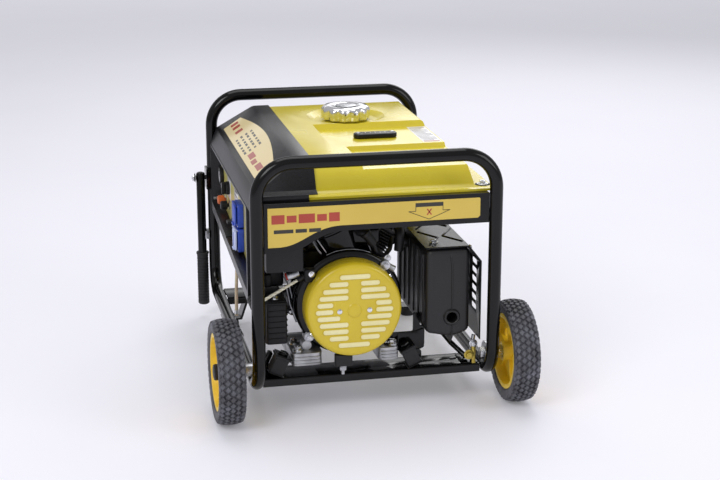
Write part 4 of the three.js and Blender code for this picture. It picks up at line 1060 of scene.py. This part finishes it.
def buildCylinder():
    s = cylinderSizes
    bm = bmesh.new()
    addBlock(bm, (-42, -38, 80.3), (42, 38, 86), 2)
    addBar(bm, (0, 0, 83), (0, 0, 150), 32, 48)
    for i in range(s["fins"]):
        z = s["first"] + i * s["finPitch"]
        addSheet(bm, -s["half"], s["half"], -42, 42, "z", z, z + s["finThick"], 12, 4, 0.5, 1)
    addBlock(bm, (-40, -36, 141), (40, 36, 150), 3)
    for x in range(-34, 35, 8):  # upright fins of the head
        addBlock(bm, (x - 1, -36, 148), (x + 1, 36, 158), 0.6, 1)
    leaned(bm)
    makePiece(bm, "cylinderBarrel", "machine", darkMetal, ["cylinder"])
    bm = bmesh.new()
    addSheet(bm, -30, 30, -30, 30, "z", 150, 167.5, 9, 5, 3.5, 3)
    leaned(bm)
    makePiece(bm, "valveCover", "machine", enamelBlack)
    bm = bmesh.new()
    for x in (-25, 25):
        for y in (-25, 25):
            addHexBolt(bm, (x, y, 160), (0, 0, 1), 8, 4)
    leaned(bm)
    makePiece(bm, "valveCoverBolts", "machine", zincBolt)
    # spark plug and the rubber cap over it, on the near face of the head
    plug = at(-4, 126, 336)
    bm = bmesh.new()
    addTube(bm, roundedLine([plug, at(-24, 92, 346), at(-8, 76, 344), at(8, 76, 322)], [8, 12], 7), 9, 28)
    addTurned(bm, [(9, -2), (11, -1), (11, 3), (9, 4)], at(-8, 76, 344), (0.59, 0, -0.81), 28)
    line = [at(8, 76, 322), at(14, 76, 306), at(32, 88, 292), at(48, 110, 300), at(56, 128, 316)]
    addTube(bm, roundedLine(line, [10, 16, 14], 6), 4.4, 16)
    makePiece(bm, "sparkPlugCap", "machine", plasticBlack)
    # dark breather elbow beside the fins
    bm = bmesh.new()
    addTube(bm, roundedLine([at(62, 96, 300), at(64, 96, 336), at(64, 130, 352)], [14, 14], 8), 9, 24)
    makePiece(bm, "breatherElbow", "machine", plasticBlack)


buildCylinder()


def buildCrankcase():
    refined("crankcase", "machine", castAluminium, 1.4, 2)
    bm = bmesh.new()
    for x, y, z in ((-142, 60, 123), (-142, 104, 123), (43, 60, 123), (43, 104, 123)):
        addTurned(bm, [(0, 0), (9, 0), (9.6, 1), (9, 3.4), (0, 3.4)], at(x, y, z), (0, 0, 1), 28)
        addHexBolt(bm, at(x, y, z + 3), (0, 0, 1), 12, 7)
    addHexBolt(bm, at(-119, 62, 150), (0, -1, 0), 11, 7)
    makePiece(bm, "crankcaseBolts", "machine", zincBolt)
    # ribs along the feet, and a machined boss and bracket beside the cover
    bm = bmesh.new()
    for x0, x1 in ((-155, -98), (14, 52)):
        for z in (101, 107.5, 114):
            addBlock(bm, at(x0 + 3, 42.6, z), at(x1 - 3, 46.5, z + 2.2), 0.7, 1)
    addTurned(bm, [(0, 0), (10, 0), (11, 1.4), (11, 18), (0, 18)], at(-119, 63, 150), (0, 1, 0), 32)
    addTurned(bm, [(0, 0), (9, 0), (10, 1.4), (10, 22), (0, 22)], at(-124, 64, 132), (0, 1, 0), 28)
    addTurned(bm, [(0, 0), (8.4, 0), (9.6, 1.6), (9.6, 26), (0, 26)], at(27, 56, 284), (0, 1, 0), 32)
    addBar(bm, at(27, 70, 283), at(47, 66, 272), 6.4, 20, bevel=1)
    makePiece(bm, "crankcaseBosses", "machine", castAluminium)
    bm = bmesh.new()
    addHexBolt(bm, at(27, 57, 284), (0, -1, 0), 11, 6)
    addHexBolt(bm, at(33, 64, 296), (0, -1, 0), 8, 4)
    makePiece(bm, "bracketBolts", "machine", zincBolt)


buildCrankcase()


# alternator: ribbed case, end cover and windings
def buildAlternator():
    low, high = nodeBox("stator_housing")
    r = (high.x - low.x) / 2
    cz = (low.z + high.z) / 2
    centre = Vector((engineX, low.y, cz))
    length = high.y - low.y
    profile = [(r - 7, 0), (r - 1.5, 0), (r, 1.5), (r, 14), (r - 4, 18)]
    z = 24
    while z < length - 24:  # rolled stiffening beads
        profile += [(r - 4, z), (r - 2.6, z + 1.4), (r - 2.6, z + 4.6), (r - 4, z + 6)]
        z += 22
    profile += [(r - 4, length - 18), (r, length - 14), (r, length - 1.5), (r - 1.5, length), (r - 7, length)]
    bm = bmesh.new()
    addTurned(bm, profile, centre, (0, 1, 0), 80)
    makePiece(bm, "statorShell", "machine", enamelBlack, ["stator_housing"], 40)
    bm = bmesh.new()
    for angle in (45, 135, 225, 315):
        way = spoke(angle)
        start = centre + way * (r - 1.2) + Vector((0, 6, 0))
        addBar(bm, start, start + Vector((0, length - 4, 0)), 3, 16)
    makePiece(bm, "statorTieRods", "machine", zincBolt)
    bm = bmesh.new()
    for i in range(18):
        a = 2 * math.pi * i / 18
        spot = centre + Vector((math.cos(a) * 71, length - 20, math.sin(a) * 71))
        addBar(bm, spot, spot + Vector((0, 16, 0)), 8, 14, bevel=2)
    makePiece(bm, "statorWindings", "machine", copperWire)
    refined("end_cover", "machine", castAluminium, 1.2, 2)
    bm = bmesh.new()
    farFace = nodeBox("end_cover")[1].y
    addTurned(bm, [(0, 3.4), (16, 3.2), (19, 2), (20, -2), (0, -2)], (engineX, farFace, cz), (0, 1, 0), 40)
    makePiece(bm, "bearingCap", "machine", zincBolt)
    bm = bmesh.new()
    for x in (-112, 26):
        addHexBolt(bm, (x, farFace - 30, nodeBox("end_cover")[0].z + 27), (0, 0, 1), 12, 6)
    makePiece(bm, "endCoverBolts", "machine", zincBolt)


buildAlternator()
refined("crankshaft", "crank", steel, 0.4, 1)
refined("flywheel", "crank", castAluminium, 0.4, 1)
refined("rotor", "crank", steel, 0.4, 1)
print("engine ready")


# rubber mounts between the engine and the cross channels
def buildMounts():
    for side, sign in (("left", -1), ("right", 1)):
        refined("engine_mount_" + side, "machine", mountRubber, 2.2, 2)
        low, high = nodeBox("engine_mount_" + side)
        mid = (low + high) / 2
        tilt = math.radians(-sign * 25.6)
        bm = bmesh.new()
        for z0, z1 in ((-20, -18), (17, 19)):  # steel plates bonded to the rubber
            addBlock(bm, (-16, -18, z0), (16, 18, z1), 0.8, 1)
        addBar(bm, (0, 0, -26), (0, 0, 26), 4.4, 16)
        addBar(bm, (0, 0, 19), (0, 0, 25), 9, 6, bevel=0.8)
        addBar(bm, (0, 0, -26), (0, 0, -20), 9, 6, bevel=0.8)
        bmesh.ops.rotate(bm, cent=(0, 0, 0), matrix=Matrix.Rotation(tilt, 3, "Y"), verts=bm.verts[:])
        bmesh.ops.translate(bm, vec=mid, verts=bm.verts[:])
        makePiece(bm, "mountPlates" + side.capitalize(), "machine", enamelBlack)
    bm = bmesh.new()  # middle buffer under the base bar
    addBlock(bm, at(-75, 28, 97), at(-42, 44, 120), 2.4, 3)
    makePiece(bm, "middleBuffer", "machine", mountRubber)
    bm = bmesh.new()
    addTurned(bm, [(0, 0), (8, 0), (9, 1), (9, 3), (0, 3)], at(-58.5, 42, 93.5), (0, 0, 1), 24)
    addHexBolt(bm, at(-58.5, 42, 94), (0, 0, -1), 12, 7, washer=False)
    addBar(bm, at(-58.5, 42, 78), at(-58.5, 42, 94), 4, 16)
    makePiece(bm, "bufferNut", "machine", zincBolt)
    bm = bmesh.new()  # glossy bent straps that hold the mounts down on the channel
    right = roundedOutline([(92, 78.2), (104, 84), (104, 100), (92, 112), (64, 116), (60, 108),
                            (84, 84)], 5, 4)
    addPlate(bm, right, "y", nearY + 74.5, nearY + 88, 1.4, 2)
    left = roundedOutline([(-208, 78.2), (-210, 100), (-196, 122), (-186, 118), (-196, 96),
                           (-184, 78.2)], 4, 4)
    addPlate(bm, left, "y", nearY + 74.5, nearY + 86, 1.4, 2)
    makePiece(bm, "mountStraps", "machine", enamelBlack)


buildMounts()


# muffler: two pressed shells, with a rolled seam between
mufflerSizes = {"ribs": 6, "ribDepth": 2.2, "boreRadius": 10.5, "belly": 15, "outlet": 45.6}


def buildMuffler():
    low, high = nodeBox("muffler")
    front = nearY + 30
    back = high.y
    seam = low.x + 50
    top, base = high.z, low.z + mufflerSizes["belly"]
    bm = bmesh.new()
    corners = [(low.x, top), (high.x, top), (high.x, base), (seam + 12, base - 8), (seam - 12, base - 8),
               (low.x, base)]
    addPlate(bm, roundedOutline(corners, 13, 6), "y", front, back, 11, 5)
    shell = makePiece(bm, "mufflerShell", "machine", heatPaint, ["muffler"], 45)
    bore = bmesh.new()
    outlet = Vector((seam, front, low.z + mufflerSizes["outlet"]))
    addBar(bore, outlet - Vector((0, 8, 0)), outlet + Vector((0, 40, 0)), mufflerSizes["boreRadius"], 40)
    carve(shell, bore)
    smoothed(shell.data, 20)
    bm = bmesh.new()
    tip = [(seam - 12, base - 6), (seam - 5, base - 10), (seam - 2, base - 21), (seam + 1, base - 22.4),
           (seam + 3, base - 20), (seam + 6, base - 10), (seam + 12, base - 6)]
    addPlate(bm, tip, "y", front + 7, back - 10, 1.6, 2)
    # the seam runs up the near face and bends over at the top
    addTube(bm, [(seam + 0.6, front - 0.2, base - 12), (seam + 0.6, front - 0.2, outlet.z - 16)], 1.4, 12)
    seamLine = [(seam + 0.6, front - 0.2, outlet.z + 16), (seam + 0.6, front - 0.4, top - 40),
                (seam - 3, front - 0.4, top - 14), (seam - 8, front + 7, top - 2),
                (seam - 9, front + 14, top + 0.4), (seam - 9, back - 12, top + 0.4)]
    addTube(bm, roundedLine(seamLine, [30, 30, 6, 8], 5), 1.7, 12)
    bore = mufflerSizes["boreRadius"]
    addTurned(bm, [(bore, 3), (bore, -3.6), (12, -4.6), (14, -4.2), (15.6, -2.4), (17, 0.6),
                   (18.5, 3)], outlet, (0, 1, 0), 48)
    addTurned(bm, [(10.4, -3), (10.4, 30), (12.4, 30), (12.4, -3)], outlet, (0, 1, 0), 40)
    ribs = mufflerSizes["ribs"]
    for i in range(ribs):  # upright ribs pressed into the engine side
        y = front + 26 + i * (back - front - 60) / (ribs - 1)
        addBlock(bm, (low.x - mufflerSizes["ribDepth"], y - 5, base + 14), (low.x + 2, y + 5, top - 14), 2, 3)
    makePiece(bm, "mufflerSeamAndRibs", "machine", heatPaint)
    # exhaust stub from the head into the muffler
    bm = bmesh.new()
    addTube(bm, roundedLine([at(58, 192, 322), at(84, 192, 322), at(84, 192, 290), at(102, 192, 290)],
                            [12, 12], 8), 13, 28)
    makePiece(bm, "exhaustStub", "machine", darkMetal)


buildMuffler()


def buildHeatShield():
    refined("heat_shield", "machine", enamelBlack, 0.5, 2)
    low, high = nodeBox("heat_shield")
    y0, y1 = low.y, high.y
    top = high.z
    bm = bmesh.new()
    # crossed stiffening beads pressed into the top, and rolled edges all round
    for (xa, ya), (xb, yb) in (((110, 46), (138, 92)), ((138, 92), (110, 140)), ((178, 60), (150, 104)),
                               ((150, 104), (178, 150)), ((112, 160), (176, 250)), ((176, 170), (112, 250))):
        addBar(bm, at(xa, ya, top - 0.4), at(xb, yb, top - 0.4), 2.2, 12, bevel=0.6)
    for y in (y0 + 0.8, y1 - 0.8):
        edge = [(98.5, y, top - 0.8), (181.6, y, top - 0.8), (206.2, y, 289.4), (206.2, y, low.z + 1)]
        addTube(bm, roundedLine(edge, [2, 2], 3), 1.5, 10)
    makePiece(bm, "heatShieldBeads", "machine", enamelBlack)
    bm = bmesh.new()
    for x, y in ((122, 62), (122, 250)):
        addHexBolt(bm, at(x, y, top), (0, 0, 1), 10, 5)
    addHexBolt(bm, (193, y0 + 40, 306), Vector((0.8, 0, 0.6)), 8, 4)
    makePiece(bm, "heatShieldBolts", "machine", zincBolt)


buildHeatShield()
refined("muffler_bracket", "machine", enamelBlack, 0.7, 2)


def buildBracketWeb():
    # the bracket's wide lower web, bent from the same sheet
    web = roundedOutline([(56, 142), (92, 142), (109, 148), (109, 108), (98, 104), (56, 106)], 4, 4)
    bm = bmesh.new()
    addPlate(bm, web, "y", nearY + 74, nearY + 76.4, 0.6, 2)
    makePiece(bm, "bracketWeb", "machine", enamelBlack)


buildBracketWeb()


def buildLowerStays():
    # passivated hanger, stay and bolts at the foot of the shield
    bm = bmesh.new()
    addBlock(bm, at(196, 42, 79), at(204, 56, 116), 1, 2)
    addTurned(bm, [(0, 0), (5.4, 0), (6, 1), (6, 9), (0, 9)], at(190, 40, 98), (0, 1, 0), 28)
    addHexBolt(bm, at(190, 42, 98), (0, -1, 0), 12, 6)
    makePiece(bm, "shieldHanger", "machine", yellowZinc)
    bm = bmesh.new()
    addBar(bm, at(204, 60, 132), at(196, 52, 92), 4, 18, bevel=1)
    addHexBolt(bm, at(200, 48, 118), (0, -1, 0), 10, 5)
    addHexBolt(bm, at(186, 75, 78), (0, 0, 1), 8, 4)
    makePiece(bm, "hangerBolts", "machine", zincBolt)
    bm = bmesh.new()  # flat strut from the channel up to the shield's foot
    strut = [at(150, 118, 128), at(166, 90, 108), at(190, 62, 86)]
    addTube(bm, strut, 5, 16)
    addBlock(bm, at(178, 46, 78.3), at(210, 100, 80.6), 0.8, 2)
    makePiece(bm, "shieldStrut", "machine", enamelBlack)


buildLowerStays()
print("exhaust ready")


# air filter, carburettor and fuel line
def buildAirFilter():
    low, high = nodeBox("air_filter")
    bm = bmesh.new()
    addBlock(bm, low + Vector((0, 6, 0)), high - Vector((0, 4, 0)), 5, 3)
    addBlock(bm, low + Vector((1.5, 0, 2)), Vector((high.x - 1.5, low.y + 8, high.z - 2)), 3.4, 3)
    addBlock(bm, (low.x + 0.2, low.y + 40, low.z - 0.6), (high.x - 0.2, low.y + 46, high.z + 0.6), 1, 2)
    z = low.z + 12
    while z < high.z - 8:  # moulded ribs across the near face
        addBlock(bm, (low.x + 4, low.y - 1.8, z), (high.x - 4, low.y + 1, z + 2.6), 0.9, 2)
        addBlock(bm, (high.x - 1, low.y + 10, z), (high.x + 1.6, high.y - 10, z + 2.6), 0.9, 2)
        z += 11
    makePiece(bm, "airFilterBox", "machine", plasticBlack, ["air_filter"])
    bm = bmesh.new()
    for z in (low.z + 20, high.z - 20):  # spring clips
        addBlock(bm, (high.x - 0.5, low.y + 34, z - 6), (high.x + 2.4, low.y + 52, z + 6), 0.8, 2)
    addHexBolt(bm, ((low.x + high.x) / 2, low.y + 20, high.z - 0.4), (0, 0, 1), 9, 5)
    makePiece(bm, "airFilterClips", "machine", zincBolt)


buildAirFilter()
refined("carburetor", "machine", castAluminium, 0.9, 2)


def buildCarburettorParts():
    low, high = nodeBox("carburetor")
    bm = bmesh.new()
    mid = (low + high) / 2
    addHexBolt(bm, (mid.x, mid.y, low.z + 0.5), (0, 0, -1), 10, 4)
    addHexBolt(bm, (low.x + 16, low.y + 1, high.z - 20), (0, -1, 0), 6, 3, washer=False)
    addHexBolt(bm, (high.x - 16, low.y + 1, high.z - 26), (0, -1, 0), 6, 3, washer=False)
    makePiece(bm, "carburettorScrews", "machine", brass)
    bm = bmesh.new()  # governor rod and its spring, from the carburettor back to the engine
    addTube(bm, roundedLine([at(-128, 160, 216), at(-118, 150, 238), at(-104, 128, 250)], [10], 5), 1.3, 10)
    turns, coils = [], 13
    start, end = at(-140, 120, 240), at(-112, 120, 262)
    for i in range(coils * 10 + 1):
        a = 2 * math.pi * i / 10
        spot = start.lerp(end, i / (coils * 10))
        turns.append(spot + Vector((math.cos(a) * -0.6, math.sin(a), math.cos(a) * 0.8)) * 3)
    addTube(bm, turns, 0.7, 6)
    makePiece(bm, "governorLinkage", "machine", steel)


buildCarburettorParts()
refined("choke_lever", "choke", plasticBlack, 0.8, 2)
refined("fuel_valve", "machine", brass, 0.7, 2)
refined("fuel_valve_lever", "valve_lever", redPlastic, 0.9, 2)


def buildFuelHose():
    low, high = nodeBox("fuel_hose")
    bm = cadShape("fuel_hose", 0.1)
    makePiece(bm, "fuelHose", "machine", mountRubber, ["fuel_hose"], 60, recalc=False)
    bm = bmesh.new()
    for x, y, z in ((-100, 178, high.z - 8), (-133.2, 181, low.z + 8)):
        addTurned(bm, [(4.6, -2.6), (5.8, -2.6), (5.8, 2.6), (4.6, 2.6)], at(x, y, z), (0, 0, 1), 28)
        addBlock(bm, at(x + 5, y - 2, z - 2), at(x + 10, y + 2, z + 2), 0.6, 1)
    makePiece(bm, "hoseClips", "machine", zincBolt)


buildFuelHose()


# starter rope, its guide and the pull handle
def buildRope():
    low, high = nodeBox("starter_rope")
    inner = Vector((high.x - 1.4, (low.y + high.y) / 2, high.z - 2.6))
    outer = Vector((low.x + 1.4, (low.y + high.y) / 2, low.z + 2.6))
    bm = bmesh.new()
    steps = 14
    line = [inner.lerp(outer, i / steps) for i in range(steps + 1)]
    addTube(bm, line, 2.8, 20)
    rope = makePiece(bm, "starterRope", "machine", ropeBraid)
    rope.parent = None
    del rope["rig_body"]
    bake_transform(rope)
    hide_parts("starter_rope")
    way = (outer - inner).normalized()
    bm = bmesh.new()
    addTurned(bm, [(2.9, -14), (4.6, -14), (5.4, -12), (5.4, 12), (4.6, 16), (3.2, 17)], inner + way * 2,
              way, 28)
    addBlock(bm, inner + Vector((-4, -9, -13)), inner + Vector((17, 9, 13)), 3, 3)
    makePiece(bm, "ropeGuide", "machine", plasticBlack)
    bm = bmesh.new()
    addHexBolt(bm, inner + Vector((9, -9, 4)), (0, -1, 0), 7, 3)
    makePiece(bm, "ropeGuideScrew", "machine", chromePlate)


buildRope()


def buildPullHandle():
    low, high = nodeBox("starter_handle")
    r = 9.5
    axis = Vector((low.x + r, 0, (low.z + high.z) / 2))
    bm = bmesh.new()
    length = high.y - low.y
    profile = [(0, 0), (r - 3, 0), (r - 0.6, 1.6), (r, 5)]
    y = 10
    while y < length - 12:  # finger grooves
        profile += [(r, y), (r - 1.5, y + 3), (r - 1.5, y + 6), (r, y + 9)]
        y += 13
    profile += [(r, length - 5), (r - 0.6, length - 1.6), (r - 3, length), (0, length)]
    addTurned(bm, profile, Vector((axis.x, low.y, axis.z)), (0, 1, 0), 36)
    across = (low.y + high.y) / 2 + 3
    addBar(bm, (axis.x, across, axis.z), (high.x, across, axis.z), 6, 24, bevel=1)
    makePiece(bm, "pullHandle", "pull_handle", plasticBlack, ["starter_handle"])


buildPullHandle()
print("fuel and starter parts ready")


# control box and what is on its plate
refined("control_box", "machine", fasciaPlastic, 1.0, 2)
refined("control_plate", "machine", platePaint, 0.3, 1)
plateFace = nodeBox("control_plate")[0].x


def onPlate(y, z):  # a spot on the plate's face, which looks along -x
    return Vector((plateFace, nearY + y, z))


def plateBlock(bm, y, z, low, high, bevel=0.0):
    # low and high are (out, along, up) from a spot on the plate
    spot = onPlate(y, z)
    a = spot + Vector((-high[0], low[1], low[2]))
    b = spot + Vector((-low[0], high[1], high[2]))
    return addBlock(bm, a, b, bevel)


def plateTurned(bm, y, z, profile, sides=40):
    addTurned(bm, profile, onPlate(y, z), (-1, 0, 0), sides)


def buildMeter():
    y, z = 612, 338
    bm = bmesh.new()
    plateTurned(bm, y, z, [(0, 0.4), (20, 0.4), (20, 7), (19, 8.6), (17.4, 9), (16.4, 7.4), (0, 7.4)], 56)
    makePiece(bm, "meterCase", "machine", plasticBlack, ["voltmeter"])
    bm = bmesh.new()
    plateTurned(bm, y, z, [(0, 7.2), (16, 7.2), (16, 7.7), (0, 7.7)], 40)
    makePiece(bm, "meterFace", "machine", whiteVinyl)
    bm = bmesh.new()
    for i in range(9):
        a = math.radians(-55 + 110 * i / 8)
        made = plateBlock(bm, y, z, (7.6, -0.4, 10), (7.9, 0.4, 13.5))
        bmesh.ops.rotate(bm, cent=onPlate(y, z), matrix=Matrix.Rotation(a, 3, "X"), verts=made)
    made = plateBlock(bm, y, z, (7.7, -0.35, -3), (8.1, 0.35, 11))
    bmesh.ops.rotate(bm, cent=onPlate(y, z), matrix=Matrix.Rotation(math.radians(30), 3, "X"), verts=made)
    makePiece(bm, "meterScale", "machine", blackInk)


buildMeter()


def buildSwitch():
    y, z = 510, 335
    bm = bmesh.new()
    plateTurned(bm, y, z, [(0, 0.4), (14, 0.4), (14, 6.6), (13, 8), (0, 8)], 48)
    plateBlock(bm, y, z, (7, -4, -13), (17, 4, 13), 1.6)
    for i in range(24):
        a = 2 * math.pi * i / 24
        made = plateBlock(bm, y, z, (1.2, -0.6, 13.4), (6.6, 0.6, 14.2), 0.2)
        bmesh.ops.rotate(bm, cent=onPlate(y, z), matrix=Matrix.Rotation(a, 3, "X"), verts=made)
    makePiece(bm, "switchKnob", "switch", plasticBlack, ["engine_switch"])
    bm = bmesh.new()
    plateBlock(bm, y, z, (16.8, -0.8, 2), (17.4, 0.8, 12), 0.2)
    makePiece(bm, "switchPointer", "switch", whiteVinyl)
    bm = bmesh.new()
    plateBlock(bm, y, z, (0, -24, -24), (0.3, 24, 26), 0.1)
    makePiece(bm, "switchLabel", "machine", whiteVinyl)


buildSwitch()


def buildBreaker():
    y, z = 396, 292
    bm = bmesh.new()
    plateBlock(bm, y, z, (0, -15, -24), (5.6, 15, -9), 1)
    plateBlock(bm, y, z, (0, -15, 9), (5.6, 15, 24), 1)
    plateBlock(bm, y, z, (0, -15, -10), (4, -10, 10), 0.6)
    plateBlock(bm, y, z, (0, 10, -10), (4, 15, 10), 0.6)
    makePiece(bm, "breakerBody", "machine", plasticBlack)
    refined("breaker_toggle", "breaker", plasticBlack, 0.9, 2)
    refined("reset_button", "reset", redPlastic, 0.9, 2)
    bm = bmesh.new()
    low, high = nodeBox("reset_button")
    plateTurned(bm, (low.y + high.y) / 2 - nearY, (low.z + high.z) / 2,
                [(5.8, 0), (8.6, 0), (8.6, 1.6), (7.6, 2.6), (5.8, 2.6)], 36)
    makePiece(bm, "resetRing", "machine", chromePlate)


buildBreaker()


def buildTerminals():
    for node, body, material in (("terminal_red", "knob_red", orangePlastic),
                                 ("terminal_black", "knob_black", plasticBlack)):
        spot = middle(node)
        y, z = spot.y - nearY, spot.z
        bm = bmesh.new()
        plateTurned(bm, y, z, [(0, 4.8), (8, 4.8), (9, 6), (9, 17), (7.6, 19.4), (4, 20), (0, 20)], 40)
        for i in range(16):
            a = 2 * math.pi * i / 16
            made = plateBlock(bm, y, z, (6, -0.9, 8.4), (17.4, 0.9, 9.6), 0.4)
            bmesh.ops.rotate(bm, cent=onPlate(y, z), matrix=Matrix.Rotation(a, 3, "X"), verts=made)
        plateTurned(bm, y, z, [(0, 0.4), (4, 0.4), (4, 5.4), (0, 5.4)], 20)
        makePiece(bm, body.replace("_", "") + "Cap", body, material, [node])
    bm = bmesh.new()  # washers behind the knobs, and the earth bolt with its wing nut
    for y in (560, 512):
        plateTurned(bm, y, 297, [(4.4, 0), (10, 0), (10, 1.6), (4.4, 1.6)], 32)
    earth = onPlate(604, 290)
    addBar(bm, earth, earth - Vector((22, 0, 0)), 3, 20)
    addHexBolt(bm, earth, (-1, 0, 0), 11, 6)
    addTurned(bm, [(3, 8), (7.4, 8), (7.4, 12), (3, 12)], earth, (-1, 0, 0), 24)
    makePiece(bm, "earthBolt", "machine", zincBolt)


buildTerminals()


def buildSockets():
    for name, plastic in (("upper", bluePlastic), ("lower", paleBluePlastic)):
        node = "socket_" + name
        low, high = nodeBox(node)
        mid = (low + high) / 2
        y, z = mid.y - nearY, mid.z
        bm = bmesh.new()
        addSheet(bm, low.y, high.y, low.z, high.z, "x", high.x, low.x, 4, 4, 1, 2)
        body = makePiece(bm, node.replace("_u", "U").replace("_l", "L"), "machine", bluePlastic, [node])
        well = bmesh.new()
        addTurned(well, [(0, 3.2), (18.5, 3.2), (18.5, 14), (0, 14)], onPlate(y, z), (-1, 0, 0), 56)
        carve(body, well)
        bm = bmesh.new()
        for dy, dz in ((-9, 0), (9, 0)):
            plateTurned(bm, y + dy, z + dz, [(0, 3), (3.2, 3), (3.2, 3.6), (0, 3.6)], 20)
        plateBlock(bm, y, z, (3, -1.6, 12), (9, 1.6, 17.4), 0.5)
        plateBlock(bm, y, z, (3, -1.6, -17.4), (9, 1.6, -12), 0.5)
        makePiece(bm, "contacts" + name.capitalize(), "machine", brass)
        lid = "socket_lid_" + name
        lidLow, lidHigh = nodeBox(lid)
        bm = bmesh.new()
        addSheet(bm, lidLow.y, lidHigh.y, lidLow.z, lidHigh.z - 5, "x", lidHigh.x - 1.8, lidLow.x + 0.8,
                 6, 5, 1.2, 3)
        centre = Vector((0, (lidLow.y + lidHigh.y) / 2, (lidLow.z + lidHigh.z) / 2 - 2))
        addTurned(bm, [(0, 0), (14, 0), (16.5, -1), (17.5, -3), (15, -3), (0, -2)],
                  Vector((lidLow.x + 0.2, centre.y, centre.z)), (-1, 0, 0), 48)
        hinge = (lidHigh.x - 3, lidHigh.z - 3)
        addBar(bm, (hinge[0], lidLow.y + 4, hinge[1]), (hinge[0], lidHigh.y - 4, hinge[1]), 3, 24, bevel=0.5)
        addBlock(bm, (lidLow.x - 2.2, centre.y - 8, lidLow.z - 1),
                 (lidHigh.x - 2, centre.y + 8, lidLow.z + 4), 1.2)
        makePiece(bm, "socketLid" + name.capitalize(), "lid_" + name, plastic, [lid])
        if name == "lower":
            bm = bmesh.new()
            addBlock(bm, (lidLow.x - 0.4, centre.y - 1.2, centre.z - 13),
                     (lidLow.x + 0.6, centre.y + 1.2, centre.z + 13))
            makePiece(bm, "socketLidMark", "lid_lower", bluePlastic)
        bm = bmesh.new()  # screws at the flange's corners
        for dy in (-20, 20):
            for dz in (-20, 20):
                plateTurned(bm, y + dy, z + dz, [(0, 12), (2.6, 12), (2.6, 12.7), (1.6, 13.2), (0, 13.2)], 20)
        makePiece(bm, "socketScrews" + name.capitalize(), "machine", zincBolt)


buildSockets()


def buildPlateLabels():
    bm = bmesh.new()
    plateBlock(bm, 402, 330, (0, -28, -20), (0.3, 26, 46), 0.1)
    makePiece(bm, "breakerLabel", "machine", whiteVinyl)
    bm = bmesh.new()
    for i in range(6):
        plateBlock(bm, 402, 330, (0.25, -22, -14 + i * 9), (0.5, 20 - (i % 3) * 8, -11 + i * 9))
    for i in range(4):
        plateBlock(bm, 560, 262, (0, -34 + i * 18, 0), (0.35, -22 + i * 18, 4))
    for i in range(3):
        plateBlock(bm, 470, 370, (0, -20, i * 8), (0.35, 30 - i * 12, 3 + i * 8))
    makePiece(bm, "plateLines", "machine", blackInk)
    bm = bmesh.new()
    for y in (112, 250, 480, 628):
        for z in (392, 258):
            if z == 258 and y > 200:
                continue
            plateTurned(bm, y, z, [(0, 0), (3.6, 0), (3.4, 1.4), (2, 2.2), (0, 2.2)], 20)
    makePiece(bm, "plateScrews", "machine", chromePlate)
    # an orange vinyl band on the plate's near half
    bm = bmesh.new()
    plateBlock(bm, 200, 300, (0, -88, 30), (0.3, 60, 36), 0.1)
    makePiece(bm, "plateStripe", "machine", orangeVinyl)


buildPlateLabels()


def buildWiring():
    # the intake duct and its heat guard, black sheet and plastic behind the rope
    bm = bmesh.new()
    addBlock(bm, at(-200, 128, 232), at(-156, 186, 292), 5, 3)
    addBlock(bm, at(-196, 112, 236), at(-182, 130, 262), 3, 2)
    makePiece(bm, "intakeDuct", "machine", plasticBlack)
    bm = bmesh.new()  # control rods beside the blower
    for x0, x1, y in ((-158, -138, 90), (-151, -130, 98)):
        addTube(bm, [at(x0, y, 246), at((x0 + x1) / 2 - 3, y, 208), at(x1, y, 172)], 2.6, 14)
    makePiece(bm, "controlRods", "machine", steel)
    # wires from the alternator up into the control box, in a sleeve
    bm = bmesh.new()
    line = [at(-96, 560, 286), at(-110, 556, 308), at(-128, 520, 318), at(-140, 480, 330)]
    addTube(bm, roundedLine(line, [16, 16], 6), 6, 20)
    line = [at(-128, 300, 300), at(-120, 240, 296), at(-112, 170, 292), at(-104, 130, 284)]
    addTube(bm, roundedLine(line, [30, 30], 6), 3.4, 16)
    makePiece(bm, "wiringSleeve", "machine", mountRubber)
    bm = bmesh.new()
    for z in (292, 298):
        spots = [at(-144, 66, z - 12), at(-150, 62, z), at(-140, 74, z + 14), at(-132, 100, z + 22)]
        addTube(bm, roundedLine(spots, [8, 8], 5), 1.6, 10)
    makePiece(bm, "engineWires", "machine", plasticBlack)
    bm = bmesh.new()  # condenser with its red end, beside the rope
    start, end = at(-160, 64, 272), at(-138, 62, 279)
    addBar(bm, start, end, 8.4, 28, bevel=1.2)
    makePiece(bm, "condenserCan", "machine", zincBolt)
    bm = bmesh.new()
    addBar(bm, start - Vector((3, 0, 1)), start + Vector((1, 0, 0.3)), 7.4, 24, bevel=1)
    makePiece(bm, "condenserEnd", "machine", redPlastic)


buildWiring()


def buildBreatherHose():
    # pale clear breather hose, which drops from the box's underside to the rail and is clipped there
    bm = bmesh.new()
    line = [at(-206, 420, 262), at(-206, 420, 214), at(-212, 400, 150), at(-213, 398, 100), at(-213, 398, 88)]
    addTube(bm, roundedLine(line, [40, 60, 40], 8), 3.4, 18)
    makePiece(bm, "breatherHose", "machine", hoseVinyl)
    bm = bmesh.new()
    addTurned(bm, [(3.3, -4), (4.8, -4), (4.8, 4), (3.3, 4)], at(-213, 398, 96), (0, 0, 1), 24)
    makePiece(bm, "breatherClip", "machine", zincBolt)


buildBreatherHose()
print("controls ready")
